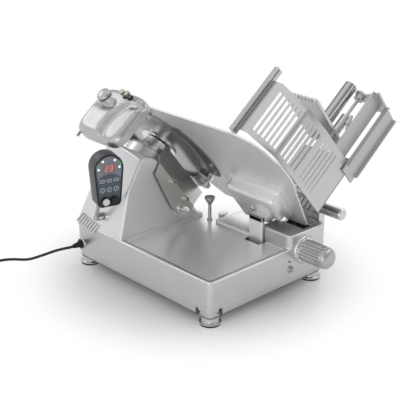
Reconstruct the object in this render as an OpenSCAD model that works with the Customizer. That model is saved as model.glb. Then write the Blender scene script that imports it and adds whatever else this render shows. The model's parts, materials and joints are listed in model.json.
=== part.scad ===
/* [Base] */
// width of the base, left face to right face
base_w = 445; // [400:1:520]
// length of the base, front face to back face
base_l = 560; // [500:1:640]
// underside of the base casting above the table
base_z = 28; // [24:1:40]
// top of the rim round the tray
rim_z = 131; // [120:1:150]
// top of the raised block that carries the thickness knob
block_z = 168; // [150:1:190]
// width of the tray deck, left face to its open right edge
deck_w = 308; // [280:1:340]
// length of the taller right-hand part of the base
right_l = 285; // [240:1:320]
// length of the low right-hand part that carries the slide rods
low_l = 420; // [380:1:460]
// top of that low part
low_z = 52; // [46:1:60]
// wall thickness of the castings
wall = 8; // [6:0.5:10]
// depth of the tray below its rim
deck_drop = 9; // [5:0.5:14]
// width of the rim round the tray
rim_w = 14; // [10:1:20]
// radius of the upright corners of the base
corner_r = 16; // [8:1:24]
// distance of each foot from the left and right faces
foot_in_x = 26; // [24:1:40]
// distance of each foot from the front and back faces
foot_in_y = 26; // [24:1:40]
// height of the set-back band along the foot of the casting
band_h = 12; // [8:1:16]
// depth of that set-back
band_in = 3; // [2:0.5:4]
// diameter of the foot flange
foot_d = 60; // [50:1:64]
// diameter of the foot post
foot_post_d = 47; // [36:1:48]
// height of the rubber pad under each foot
pad_h = 4; // [3:0.5:6]
// thickness of the bottom cover
pan_t = 5; // [3:0.5:6]

/* [Feed frame] */
// tilt of the feed direction above level
feed_tilt = 38; // [34:0.5:42]
// blade centre from the left face
blade_x = 273; // [260:1:290]
// blade centre in front of the back face
blade_in = 65; // [55:1:75]
// blade centre above the table
blade_z = 329; // [320:1:345]
// diameter of the blade
blade_d = 350; // [330:1:360]

/* [Drive] */
// length of the motor housing, front to back
hump_l = 202; // [190:1:215]
// distance of the sloped housing face behind the blade plane
slope_n = 101; // [96:1:108]
// radius of the rounded top of the housing
hump_r = 60; // [50:1:70]
// height of the top of the housing
hump_z = 352; // [340:1:360]
// radius of the neck flange on the housing
neck_flange_r = 72; // [66:1:76]
// front end of the neck flange behind the blade plane
flange_n = 55; // [50:1:60]
// radius of the turned neck
neck_r = 44; // [40:1:48]
// radius of the blade shaft
shaft_r = 20; // [16:0.5:22]
// outside radius of the shaft bearings
bearing_r = 31; // [28:0.5:34]
// radius of the pulley on the blade shaft
blade_pulley_r = 50; // [42:1:51]
// radius of the pulley on the motor shaft
motor_pulley_r = 20; // [16:1:24]
// radius of the motor
motor_r = 50; // [44:1:52]
// motor axis in front of the blade axis
motor_y = 48; // [40:1:56]
// motor axis below the blade axis
motor_u = 98; // [90:1:104]
// running clearance round a turning shaft
run_fit = 0.05; // [0.02:0.01:0.1]
// gap between the belt and each pulley
belt_gap = 0.4; // [0.3:0.05:0.6]

/* [Blade guard] */
// clearance between the blade edge and the ring guard
guard_gap = 3; // [2:0.5:5]
// radial width of the ring guard wall
guard_w = 10; // [8:0.5:12]
// radius of the still cover disc
cover_r = 132; // [120:1:136]

/* [Gauge plate] */
// thickness of the gauge plate
plate_t = 5; // [4:0.5:6]
// top edge of the gauge plate above the blade axis
plate_top = 187; // [180:1:195]
// how far the gauge plate reaches past the front face
plate_over = 43; // [30:1:50]
// radius of the big rounded corner
plate_r = 140; // [120:1:150]
// bottom edge of the gauge plate below the blade axis
plate_bot = 176; // [170:1:180]
// gap between the gauge plate and the ring guard
plate_gap = 3; // [2:0.5:5]
// travel of the gauge plate, the greatest slice thickness
slice_max = 15; // [12:0.5:16]
// depth of the cover on the back of the plate
bracket_n = 45; // [40:1:50]
// knob axis from the left face
knob_x = 354; // [345:1:365]
// knob axis above the table
knob_z = 117; // [110:1:122]
// diameter of the thickness knob
knob_d = 62; // [54:1:68]
// length of the thickness knob
knob_l = 100; // [84:1:110]
// diameter of the scale disc
dial_d = 80; // [74:1:86]

/* [Sharpener] */
// length of the sharpener along the feed direction
sharp_n = 158; // [145:1:170]
// width of the sharpener
sharp_w = 182; // [165:1:190]
// how far the sharpener reaches behind the blade axis
sharp_y = 14; // [8:1:20]
// radius of the upright corners of the sharpener
sharp_r = 34; // [24:1:40]
// underside of the sharpener above the blade axis
sharp_u = 238; // [230:1:250]
// height of the sharpener
sharp_h = 37; // [32:1:42]

/* [Control panel] */
// radius of the wide upper end of the panel
panel_r = 42; // [40:0.5:46]
// height of the panel
panel_h = 150; // [144:1:160]
// width of the lower end of the panel
panel_low_w = 68; // [66:1:74]
// radius of the lower corners of the panel
panel_low_r = 14; // [12:0.5:18]
// depth of the panel case
panel_depth = 50; // [44:1:56]
// diameter of the start and stop button bezels
bezel_d = 25; // [23:0.5:25.5]

/* [Carriage] */
// near edge of the carriage sheet above the gauge plate
car_near = 20; // [16:1:24]
// length of the folded sheet along the feed direction
car_l = 165; // [150:1:180]
// thickness of the folded sheet
sheet_t = 3; // [2:0.5:4]
// back edge of the folded sheet behind the front face
car_in = 82; // [76:1:88]
// how far the folded sheet reaches past the front face
car_over = 25; // [17:1:31]
// top edge of the folded sheet above the blade axis
car_top = 181; // [174:1:188]
// lower edge of the folded sheet below the blade axis
car_bot = 145; // [140:1:156]
// height of the upper bend above the blade axis
bend_u = 95; // [86:1:104]
// how far the sheet leans back at the upper bend
bend_y = 30; // [24:1:36]
// back edge of the food table behind the front face
table_in = 165; // [150:1:175]
// stroke of the carriage
stroke = 250; // [220:1:258]
// slide rod axis from the right face
rod_in = 21; // [19:1:27]
// height of the slide rod axis
rod_z = 74; // [70:1:80]
// radius of the slide rod
rod_r = 10; // [8:0.5:11]
// second slide rod below the first
rod_drop = 26; // [24:0.5:28]
// height of the carriage handle axis
handle_z = 203; // [190:1:215]
// radius of the pusher rod
push_rod_r = 5; // [4:0.25:6]
// radius of the pusher handle tube
push_tube_r = 19; // [16:0.5:20]

/* [Cord] */
// diameter of the mains cord
cord_d = 8; // [7:0.25:9]
// height of the cord outlet
cord_z = 64; // [58:1:70]
// cord outlet in front of the back face
cord_in = 20; // [15:1:30]

/* [Hidden] */
$fn = 64;
blade_y = base_l - blade_in;
hump_y = base_l - hump_l;
cord_y = base_l - cord_in;
rod_x = base_w - rod_in;
plate_front = blade_y + plate_over;
car_front = blade_y + car_over;
car_back = blade_y - car_in;
table_back = blade_y - table_in;
tray_w = knob_x - 54;
// front face of the base in the feed frame
front = -blade_y;
blade_r = blade_d / 2;
guard_in = blade_r + guard_gap;
guard_out = guard_in + guard_w;
plate_cut = guard_out + plate_gap;
sin_t = sin(feed_tilt);
cos_t = cos(feed_tilt);
// place of a point given by distances along the feed, level and up the plate
function spot(n, y, u) = [blade_x + n * cos_t - u * sin_t, blade_y + y, blade_z + n * sin_t + u * cos_t];

// outline round two circles, the larger at the start and the other a span along x
function two_circles(r1, r2, a, c) = concat(
  [for (i = [0:20]) let (t = (90 - a) * (i / 10 - 1)) [c + r2 * cos(t), r2 * sin(t)]],
  [for (i = [0:40]) let (t = 90 - a + (180 + 2 * a) * i / 40) [r1 * cos(t), r1 * sin(t)]]);

function unit(v) = v / norm(v);
function left_of(a, b) = unit([a[1] - b[1], b[0] - a[0]]);
function mitre(p, n1, n2, t) = let (m = n1 + n2) p + m * (2 * t / (m * m));
// points of an open path and of a closed outline moved sideways
function path_offset(p, i, t) = let (e = len(p) - 1, n1 = left_of(p[max(i - 1, 0)], p[max(i, 1)]),
  n2 = left_of(p[min(i, e - 1)], p[min(i + 1, e)])) mitre(p[i], n1, n2, t);
function loop_offset(p, t) = let (e = len(p)) [for (i = [0:e - 1]) mitre(p[i],
  left_of(p[(i + e - 1) % e], p[i]), left_of(p[i], p[(i + 1) % e]), t)];

module at_base() {
  translate([-foot_in_x, -foot_in_y, 0]) children();
}

// feed frame: x along the feed, y level, z up the plate
module tilted() {
  at_base() translate([blade_x, blade_y, blade_z]) rotate([0, -feed_tilt, 0]) children();
}

// feed frame with z along the feed
module along_feed() {
  tilted() rotate([0, 90, 0]) children();
}

// flat outline in level and up-the-plate distances, thickened along the feed
module plate_at(n, t) {
  tilted() translate([n, 0, 0]) rotate([90, 0, 90]) linear_extrude(t) children();
}

module ring(r_out, r_in, h) {
  difference() {
    cylinder(r = r_out, h = h);
    translate([0, 0, -1]) cylinder(r = r_in, h = h + 2);
  }
}

module rrect(w, l, r) {
  translate([r, 0]) square([w - 2 * r, l]);
  translate([0, r]) square([w, l - 2 * r]);
  for (x = [r, w - r], y = [r, l - r]) translate([x, y]) circle(r);
}

module block(x0, x1, y0, y1, z0, z1) {
  translate([x0, y0, z0]) cube([x1 - x0, y1 - y0, z1 - z0]);
}

foot_spots = [[foot_in_x, foot_in_y], [base_w - foot_in_x, foot_in_y], [foot_in_x, base_l - foot_in_y],
  [base_w - foot_in_x, low_l - foot_in_y]];
foot_top = base_z - pan_t;
deck_z = rim_z - deck_drop;
band_z = base_z + band_h;
lock_x = knob_x - 48;
rod_y0 = 14;
rod_y1 = low_l - 38;
arm_y0 = 99;
arm_y1 = arm_y0 + 50;
arm_x0 = 292;
arm_x1 = 304;
arm_z0 = 84;
guide_u = -196;

module base_casting() color("silver") {
  difference() {
    base_body();
    guide_bore();
  }
  // bosses that hold the guide rod of the gauge arm
  at_base() difference() {
    union() {
      block(260, 274, arm_y0 + 11, arm_y1 - 11, 58, deck_z - wall + 1);
      block(arm_x1 + 6, arm_x1 + 15, arm_y0 + 11, arm_y1 - 11, 92, rim_z - wall + 1);
    }
    translate([foot_in_x, foot_in_y, 0]) guide_bore();
  }
}

module guide_bore() along_feed() translate([-guide_u, (arm_y0 + arm_y1) / 2 - blade_y, -172])
  cylinder(r = 7, h = 79);

module base_body() at_base() difference() {
  union() {
    translate([0, 0, band_z]) linear_extrude(rim_z - band_z) rrect(deck_w, base_l, corner_r);
    translate([0, 0, band_z]) linear_extrude(rim_z - band_z) rrect(base_w, right_l, corner_r);
    translate([0, 0, band_z]) linear_extrude(low_z - band_z) rrect(base_w, low_l, corner_r);
    // set-back band along the foot of the casting
    translate([band_in, band_in, base_z]) linear_extrude(band_h + 1)
      rrect(deck_w - 2 * band_in, base_l - 2 * band_in, corner_r - band_in);
    translate([band_in, band_in, base_z]) linear_extrude(band_h + 1)
      rrect(base_w - 2 * band_in, low_l - 2 * band_in, corner_r - band_in);
    translate([tray_w, 0, band_z]) linear_extrude(block_z - band_z) rrect(base_w - tray_w, block_l, corner_r);
    block(rod_x - 14, rod_x + 14, rod_y1 - 4, rod_y1 + 10, low_z - 1, rod_z + 14);
    // round boss below the lock button
    translate([lock_x - 3, 1, 55]) rotate([90, 0, 0]) cylinder(r = 6, h = 3);
  }
  // tray deck, open at its far right edge
  translate([rim_w, rim_w, deck_z]) linear_extrude(60) rrect(tray_w - rim_w, hump_y - rim_w - 4, 10);
  block(rim_w + 20, deck_w + 30, right_l + 4, hump_y - 4, deck_z, rim_z + 60);
  // hollow underside
  block(wall, deck_w - wall, wall, base_l - wall, base_z - 1, deck_z - wall);
  block(tray_w + 12, rod_x - 36, wall, right_l - wall, base_z - 1, rim_z - wall);
  block(tray_w + 14, base_w - wall, wall, block_l - wall, rim_z - 20, block_z - wall);
  block(deck_w + 4, rod_x - 24, right_l + wall, low_l - wall, base_z - 1, low_z - 6);
  // way for the drive between housing and base
  block(60, blade_x - 3, hump_y + 26, base_l - 32, rim_z - 30, rim_z + 1);
  // channel for the carriage foot, open to the right
  block(rod_x - 26, base_w + 1, 22, rod_y1 - 4.01, low_z - 14, rod_z + 26);
  // slide rods
  translate([rod_x, rod_y0, rod_z]) rotate([-90, 0, 0]) cylinder(r = rod_r, h = rod_y1 + 4 - rod_y0);
  translate([rod_x, rod_y0, rod_z - rod_drop]) rotate([-90, 0, 0]) cylinder(r = 6, h = rod_y1 + 4 - rod_y0);
  // slot for the gauge arm
  block(arm_x0 - 16, arm_x1 + 6, arm_y0 - 5, arm_y1 + 5, arm_z0 - 18, block_z + 60);
  // knob shaft
  translate([knob_x, -1, knob_z]) rotate([-90, 0, 0]) cylinder(r = 8 + run_fit, h = wall + 3);
  // lock button and cord outlet
  translate([lock_x, -1, 71]) rotate([-90, 0, 0]) cylinder(r = 6.5, h = wall + 14);
  translate([-1, cord_y, cord_z]) rotate([0, 90, 0]) cylinder(r = 9, h = wall + 3);
  // foot studs
  for (p = foot_spots) translate([p[0], p[1], base_z - 1]) cylinder(r = 5, h = 13);
  // deflector post
  translate([spot_post[0], spot_post[1], deck_z - 12]) cylinder(r = 5, h = 30);
  // slanted slot for the lower edge of the gauge plate
  translate([foot_in_x, foot_in_y, 0]) tilted()
    block(-slice_max - plate_t - 4, 4, front + 13, front + block_l + 5, -plate_low - 10, 0);
}

spot_post = [deck_w - 8, hump_y - 43];
block_l = 110;
plate_low = 204;

module bottom_cover() color("dimgray") at_base() translate([0, 0, base_z - pan_t]) difference() {
  union() {
    linear_extrude(pan_t) translate([4, 4]) rrect(deck_w - 8, base_l - 8, corner_r - 4);
    linear_extrude(pan_t) translate([4, 4]) rrect(base_w - 8, low_l - 8, corner_r - 4);
  }
  for (p = foot_spots) translate([p[0], p[1], -1]) cylinder(r = 5, h = pan_t + 2);
}

module feet() color("silver") at_base() for (p = foot_spots) translate([p[0], p[1], 0]) {
  rotate_extrude() polygon([[0, pad_h], [foot_d / 2 - 2, pad_h], [foot_d / 2, pad_h + 2],
    [foot_d / 2, pad_h + 4], [foot_post_d / 2, pad_h + 6], [foot_post_d / 2, foot_top],
    [5, foot_top], [5, foot_top + 15], [0, foot_top + 15]]);
}

module foot_pads() color("black") at_base() for (p = foot_spots) translate([p[0], p[1], 0]) {
  cylinder(d = foot_d - 4, h = pad_h);
}

// housing outline in x and z, with a tangent round top
hump_cz = hump_z - hump_r;
slope_c = blade_x * cos_t + blade_z * sin_t - slope_n;
hump_cx = (slope_c - hump_r - hump_cz * sin_t) / cos_t;
hump_d = norm([hump_cx, hump_cz - rim_z]);
hump_a = atan2(hump_cz - rim_z, hump_cx) + asin(hump_r / hump_d);
hump_len = sqrt(hump_d * hump_d - hump_r * hump_r);
slope_x = (slope_c - rim_z * sin_t) / cos_t;

module hump(inset) {
  r = hump_r - inset;
  translate([hump_cx, hump_cz]) circle(r);
  polygon([[inset, rim_z - (inset > 0 ? 1 : 0)], [slope_x - inset / cos_t, rim_z - (inset > 0 ? 1 : 0)],
    [hump_cx + r * cos_t, hump_cz + r * sin_t], [hump_cx, hump_cz],
    [hump_len * cos(hump_a) + inset * sin(hump_a), rim_z + hump_len * sin(hump_a) - inset * cos(hump_a)]]);
}

module upright(y0, y1) {
  translate([0, y1, 0]) rotate([90, 0, 0]) linear_extrude(y1 - y0) children();
}

// slanted back left corner of the housing, removed down to an inset
cut_n = unit([12730, -3259, -7410]);
module back_cut(inset) {
  translate([0, base_l - 5, rim_z]) rotate([0, acos(cut_n[2]), atan2(cut_n[1], cut_n[0])])
    translate([-500, -500, inset - 500]) cube([1000, 1000, 500]);
}

module motor_housing() color("silver") {
  difference() {
    union() {
      at_base() difference() {
        upright(hump_y, base_l) hump(0);
        back_cut(0);
      }
      along_feed() translate([0, 0, -slope_n - 1]) cylinder(r = neck_flange_r, h = slope_n + 1 - flange_n);
      // vent ribs on the left wall
      at_base() for (i = [0:8])
        translate([(15 + i * 1.75) / tan(hump_a), hump_y + 97 + i * 8.5, rim_z + 15 + i * 1.75])
        rotate([0, 90 - hump_a, 0]) rotate([37, 0, 0]) translate([-2.5, -2, -15]) cube([5, 4, 30]);
    }
    at_base() difference() {
      upright(hump_y + wall, base_l - wall) hump(wall);
      back_cut(wall);
    }
    along_feed() translate([0, 0, -slope_n - 40]) cylinder(r = bearing_r, h = slope_n + 60);
    at_base() translate([-5, stem_at[1], stem_at[2]]) rotate([0, 90, 0]) cylinder(r = 6, h = 30);
  }
  // lug from the front wall to the motor
  difference() {
    tilted() block(-172, -146, hump_y + wall - blade_y - 1, -80, -115, -80);
    along_feed() translate([motor_u, -motor_y, -200]) cylinder(r = motor_r, h = 100);
  }
}

belt_n = 132;
belt_w = 18;
motor_n = 142;
motor_len = 118;

module motor() color("gray") along_feed() translate([motor_u, -motor_y, -motor_n - motor_len]) difference() {
  union() {
    cylinder(r = motor_r, h = motor_len);
    translate([0, 0, motor_len]) cylinder(r = 18, h = 4);
  }
  translate([0, 0, 20]) cylinder(r = 8 + run_fit, h = motor_len);
}

// shaft with its grooved pulley
module motor_shaft() color("silver") along_feed() translate([motor_u, -motor_y, 0]) {
  translate([0, 0, -motor_n - motor_len + 21]) cylinder(r = 8, h = motor_len + motor_n - belt_n - 21 + belt_w);
  translate([0, 0, -belt_n - 2]) cylinder(r = motor_pulley_r + 3, h = 2);
  translate([0, 0, -belt_n]) cylinder(r = motor_pulley_r, h = belt_w);
  translate([0, 0, -belt_n + belt_w]) cylinder(r = motor_pulley_r + 3, h = 2);
}

belt_c = norm([motor_u, motor_y]);
belt_a = atan2(-motor_y, motor_u);
belt_s = asin((blade_pulley_r - motor_pulley_r) / belt_c);

module belt_loop(g) {
  polygon(two_circles(blade_pulley_r + g, motor_pulley_r + g, belt_s, belt_c));
}

module drive_belt() color("black") along_feed() rotate(belt_a) translate([0, 0, -belt_n + 2])
  linear_extrude(belt_w - 4) difference() {
    belt_loop(belt_gap + 4);
    belt_loop(belt_gap);
  }

module blade_pulley() color("gray") along_feed() translate([0, 0, -belt_n]) difference() {
  union() {
    cylinder(r = blade_pulley_r, h = belt_w);
    translate([0, 0, -6]) cylinder(r = 32, h = 6);
  }
  translate([0, 0, -7]) cylinder(r = shaft_r, h = belt_w + 8);
}

module blade_hub() color("silver") along_feed() difference() {
  union() {
    translate([0, 0, -belt_n - 14]) cylinder(r = shaft_r, h = belt_n + 14 - 13);
    translate([0, 0, -14]) cylinder(r = 60, h = 4);
    translate([0, 0, -11]) cylinder(r = 25, h = 6);
  }
  translate([0, 0, -belt_n - 15]) cylinder(r = 6.5, h = belt_n + 40);
  for (a = [45:90:359]) rotate(a) translate([42, 0, -15]) cylinder(r = 3, h = 9);
}

module hub_bearings() color("silver") along_feed() for (n = [-108, -52]) translate([0, 0, n])
  ring(bearing_r, shaft_r + run_fit, 14);

module blade_neck() color("silver") along_feed() rotate_extrude() polygon([[bearing_r, -flange_n],
  [neck_r + 6, -flange_n], [neck_r + 6, -46], [neck_r, -44], [neck_r, -36], [neck_r - 3, -34],
  [neck_r - 3, -17], [shaft_r + 4, -17], [shaft_r + 4, -37], [bearing_r, -37]]);

module blade() color("gainsboro") along_feed() difference() {
  rotate_extrude($fn = 128) polygon([[25, -10], [110, -10], [158, -8], [blade_r - 0.6, -2.4], [blade_r, -2],
    [blade_r - 0.6, -1.6], [150, -4], [110, -6], [25, -6]]);
  for (a = [45:90:359]) rotate(a) translate([42, 0, -11]) cylinder(r = 3.2, h = 6);
}

module blade_screws() color("silver") along_feed() for (a = [45:90:359])
  rotate(a) translate([42, 0, 0]) difference() {
  union() {
    translate([0, 0, -14]) cylinder(r = 3, h = 9);
    translate([0, 0, -6]) cylinder(r = 5.5, h = 2);
  }
  translate([0, 0, -4.8]) cylinder(r = 2.5, h = 2, $fn = 6);
}

module blade_cover() color("gainsboro") along_feed() difference() {
  rotate_extrude($fn = 128) polygon([[0, -3], [cover_r - 2, -3], [cover_r, -2], [cover_r - 8, -0.4],
    [20, 1.5], [0, 1.5]]);
  translate([0, 0, -4]) cylinder(r = 5, h = 4.2);
}

// still rod through the hollow shaft, with a cross bar to the housing wall
module cover_tie_rod() color("silver") {
  along_feed() translate([0, 0, -belt_n - 34]) cylinder(r = 6, h = belt_n + 34 - 3);
  along_feed() translate([0, 0, -4]) cylinder(r = 5, h = 4.2);
  tilted() translate([-belt_n - 34, -12, -10]) cube([9, base_l - wall - blade_y + 12, 20]);
}

module sector(r, a0, a1) {
  steps = 12;
  polygon(concat([[0, 0]], [for (i = [0:steps]) [r * cos(a0 + (a1 - a0) * i / steps),
    r * sin(a0 + (a1 - a0) * i / steps)]]));
}

// guards the back half of the edge; its arm runs to the neck flange
guard_a0 = -147;
guard_a1 = 112;
module ring_guard() color("gray") {
  plate_at(-18, 17) intersection() {
    difference() {
      circle(guard_out, $fn = 128);
      circle(guard_in, $fn = 128);
    }
    sector(320, guard_a0, guard_a1);
  }
  plate_at(-22, 4.01) intersection() {
    difference() {
      circle(guard_out, $fn = 128);
      circle(148, $fn = 128);
    }
    sector(320, guard_a0, guard_a1);
  }
  difference() {
    tilted() block(-70, -60, neck_flange_r - 8, 186, -22, 22);
    along_feed() translate([0, 0, -80]) cylinder(r = neck_flange_r, h = 40);
  }
  tilted() block(-70, -21, 160, 186, -22, 22);
}

module guard_knob() color("silver") tilted() translate([0, -150, -108]) rotate([0, -90, 0]) {
  translate([0, 0, 22]) cylinder(r = 6, h = 6);
  translate([0, 0, 28]) cylinder(r1 = 10, r2 = 16, h = 4);
  translate([0, 0, 32]) cylinder(r = 16, h = 8);
  translate([0, 0, 40]) cylinder(r1 = 16, r2 = 9, h = 5);
}

defl_t = 2;
defl_pts = [[-26, -64], [-104, -141], [-160, -146]];
module deflector_flat(t) {
  a = defl_pts[0];
  b = defl_pts[1];
  c = defl_pts[2];
  polygon([a, b, c, [c[0], c[1] - t], [b[0] - 0.5, b[1] - t - 0.3], [a[0], a[1] - t - 0.8]]);
}

module slice_deflector() color("tan") difference() {
  intersection() {
    tilted() translate([0, 0, -260]) linear_extrude(460) deflector_flat(defl_t);
    at_base() upright(hump_y - 58, hump_y + 102) polygon([[262, 338], [150, 338], [124, 298], [192, 165],
      [252, 150], [275, 165], [392, 152], [392, 190]]);
  }
  deflector_holes(3);
}

defl_rivets = [[186, 262], [197, 262], [236, 196]];
defl_stud = [226, 168];
module deflector_holes(r) {
  at_base() for (p = concat(defl_rivets, [defl_stud])) translate([p[0], hump_y + 1, p[1]]) rotate([90, 0, 0])
    cylinder(r = r, h = 30);
}

module deflector_rivets() color("silver") at_base() {
  for (p = concat(defl_rivets, [defl_stud])) translate([p[0], hump_y, p[1]]) rotate([90, 0, 0])
    cylinder(r = 3, h = 16);
  for (p = defl_rivets) translate([p[0], hump_y - 7.5, p[1]]) rotate([90, 0, 0]) cylinder(r = 5, h = 10.5);
}

module deflector_nut() color("silver") at_base() translate([defl_stud[0], hump_y - 11, defl_stud[1]])
  rotate([90, 0, 0]) difference() {
    cylinder(r = 12, h = 12);
    translate([0, 0, -1]) cylinder(r = 3 + run_fit, h = 7);
    for (a = [0:30:359]) rotate(a) translate([12.6, 0, -1]) cylinder(r = 1.6, h = 14, $fn = 12);
  }

module deflector_post() color("silver") at_base() translate([spot_post[0], spot_post[1], 0]) {
  translate([0, 0, deck_z - 12]) cylinder(r = 5, h = 66);
  translate([0, 0, deck_z]) cylinder(r = 8, h = 4);
  translate([0, 0, deck_z + 50]) cylinder(r1 = 5.5, r2 = 15, h = 16);
  translate([0, 0, deck_z + 66]) cylinder(r = 15, h = 6);
}

// gauge plate outline in level and up-the-plate distances
module gauge_shape() difference() {
  union() {
    polygon([[-66, plate_top], [-plate_front + plate_r, plate_top],
      [-plate_front + plate_r, plate_top - plate_r],
      [-plate_front + 0.5, plate_top - plate_r - 12], [front + 21, -plate_low + 8], [front + 31, -plate_low],
      [front + 103, -plate_low], [front + 118, -plate_bot], [front + 233, -plate_bot],
      [front + 243, -plate_bot - 26], [-150, -plate_bot - 26], [-118, -plate_bot + 10], [-110, -150]]);
    translate([-plate_front + plate_r, plate_top - plate_r]) circle(plate_r, $fn = 128);
  }
  circle(blade_r + plate_gap, $fn = 128);
  intersection() {
    circle(plate_cut, $fn = 128);
    sector(320, guard_a0 - 3, guard_a1 + 3);
  }
}

module gauge_plate() color("silver") plate_at(-plate_t, plate_t) gauge_shape();

// stiffening crescent on the back of the plate, along its blade cutout
module gauge_edge_strip() color("dimgray") plate_at(-plate_t - 4, 4) difference() {
  translate([-24, -10]) circle(plate_cut + 2, $fn = 128);
  circle(blade_r + plate_gap, $fn = 128);
  translate([-400, 118]) square([800, 200]);
  translate([-400, -400]) square([800, 314]);
  translate([-90, -400]) square([800, 800]);
}

module strip_bolts() color("silver") along_feed() for (p = [[-207, -24], [-196, -68]]) {
  translate([-p[1], p[0], -plate_t - 8]) cylinder(r = 5, h = 4, $fn = 6);
}

// outline of the cover on the back of the plate
br_pts = [[front + 231, -54], [front + 49, -54], [front + 63, -154], [front + 119, -154], [front + 125, -196],
  [front + 195, -200], [front + 233, -200]];
module gauge_bracket() color("silver") difference() {
  union() {
    plate_at(-bracket_n, bracket_n - plate_t) polygon(br_pts);
    plate_at(-plate_t - 9, 9) polygon(loop_offset(br_pts, -8));
    at_base() block(arm_x0, arm_x1, arm_y0, arm_y1, arm_z0, 195);
    at_base() block(arm_x0, 338, arm_y0, arm_y1, 180, 195);
  }
  plate_at(-bracket_n + 6, bracket_n - plate_t) polygon(loop_offset(br_pts, 6));
  along_feed() translate([-guide_u, (arm_y0 + arm_y1) / 2 - blade_y, -172]) cylinder(r = 7 + run_fit, h = 79);
  along_feed() translate([128, front + 160, -bracket_n - 1]) cylinder(r = 3, h = 8);
}

module cover_screw() color("silver") along_feed() translate([128, front + 160, -bracket_n]) difference() {
  union() {
    translate([0, 0, -3]) cylinder(r = 5.5, h = 3);
    cylinder(r = 3, h = 6);
  }
  translate([0, 0, -4]) cylinder(r = 2.6, h = 2.5, $fn = 6);
}

module gauge_rod() color("silver") along_feed() translate([-guide_u, (arm_y0 + arm_y1) / 2 - blade_y, -171])
  cylinder(r = 7, h = 77);

module turned_y(x, z) {
  at_base() translate([x, 0, z]) rotate([90, 0, 0]) children();
}

module thickness_knob() color("silver") turned_y(knob_x, knob_z) difference() {
  union() {
    translate([0, 0, 0.4]) cylinder(d = dial_d, h = 5.6);
    translate([0, 0, 6]) cylinder(d1 = dial_d, d2 = dial_d - 8, h = 4);
    translate([0, 0, 10]) cylinder(d = knob_d, h = knob_l - 14);
    translate([0, 0, knob_l - 4]) cylinder(d1 = knob_d, d2 = knob_d - 8, h = 4);
  }
  for (a = [0:15:359]) rotate(a) translate([knob_d / 2 + 1, 0, 14]) cylinder(r = 3, h = knob_l - 28, $fn = 12);
  translate([0, 0, -1]) cylinder(r = 8, h = 41);
}

// shaft of the knob with the scroll that moves the gauge arm
module knob_shaft() color("silver") turned_y(knob_x, knob_z) {
  translate([0, 0, -84]) cylinder(r = 8, h = 124);
  translate([0, 0, -72]) cylinder(r = 22, h = 12);
}

module lock_button() color("silver") turned_y(lock_x, 71) {
  translate([0, 0, -12]) cylinder(r = 6, h = 12);
  cylinder(r = 6, h = 8);
  translate([0, 0, 8]) cylinder(r1 = 6, r2 = 4, h = 2);
}

sharp_n0 = -22 - sharp_n;
pin_n = -40;
pin_y = [-88, -109];
clamp_at = [-57, -12];
sharp_y0 = sharp_y - sharp_w;
module sharpener_body() color("silver") tilted() difference() {
  union() {
    translate([sharp_n0, sharp_y0, sharp_u]) linear_extrude(sharp_h - 6) rrect(sharp_n, sharp_w, sharp_r);
    translate([sharp_n0 + 3, sharp_y0 + 3, sharp_u]) linear_extrude(sharp_h)
      rrect(sharp_n - 6, sharp_w - 6, sharp_r - 3);
  }
  translate([sharp_n0 + 6, sharp_y0 + 6, sharp_u - 1]) linear_extrude(sharp_h - 6)
    rrect(sharp_n - 12, sharp_w - 12, sharp_r - 6);
  for (y = pin_y) translate([pin_n, y, sharp_u]) cylinder(r = 5.4, h = sharp_h + 9);
  translate([clamp_at[0], clamp_at[1], sharp_u]) cylinder(r = 5 + run_fit, h = sharp_h + 9);
}

module sharpener_lid() color("silver") tilted() translate([sharp_n0 + 8, sharp_y0 + 8, sharp_u + sharp_h])
  linear_extrude(6) difference() {
    rrect(84, sharp_w - 16, sharp_r - 8);
    translate([84, 112]) circle(16);
  }

module sharpener_knob() color("silver") tilted() translate([clamp_at[0], clamp_at[1], 0]) {
  translate([0, 0, sharp_u + 10]) cylinder(r = 5, h = sharp_h - 9);
  translate([0, 0, sharp_u + sharp_h + 0.4]) cylinder(r = 20, h = 6);
  translate([0, 0, sharp_u + sharp_h + 6.4]) cylinder(r1 = 20, r2 = 12, h = 7);
}

module sharpener_buttons() color("silver") tilted() for (y = pin_y) translate([pin_n, y, 0]) {
  translate([0, 0, sharp_u - 8]) cylinder(r = 5, h = sharp_h + 30);
  translate([0, 0, sharp_u + sharp_h + 14]) cylinder(r = 8, h = 8);
}

module sharpener_stones() color("tan") tilted() for (y = pin_y) translate([pin_n - 4, y, sharp_u - 26]) {
  rotate([0, 90, 0]) cylinder(r = 11, h = 8);
  translate([0, -4, 8]) cube([8, 8, 10]);
}

module sharpener_bracket() color("gainsboro") plate_at(-40, 24) difference() {
  translate([-60, 150]) square([30, sharp_u - 150]);
  circle(guard_out, $fn = 128);
}

panel_at = [-41, hump_y - 13, 324];
panel_turn = -16;
panel_lean = 2;
stem_at = [-10, hump_y + 94, 176];
module panel_frame() {
  at_base() translate(panel_at) rotate([0, 0, panel_turn]) rotate([panel_lean, 0, 0]) children();
}

// place of a point of the panel from the corner of the base
function panel_spot(x, y, z) = let (dy = y * cos(panel_lean) - z * sin(panel_lean)) panel_at
  + [x * cos(panel_turn) - dy * sin(panel_turn), x * sin(panel_turn) + dy * cos(panel_turn),
    y * sin(panel_lean) + z * cos(panel_lean)];

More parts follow.
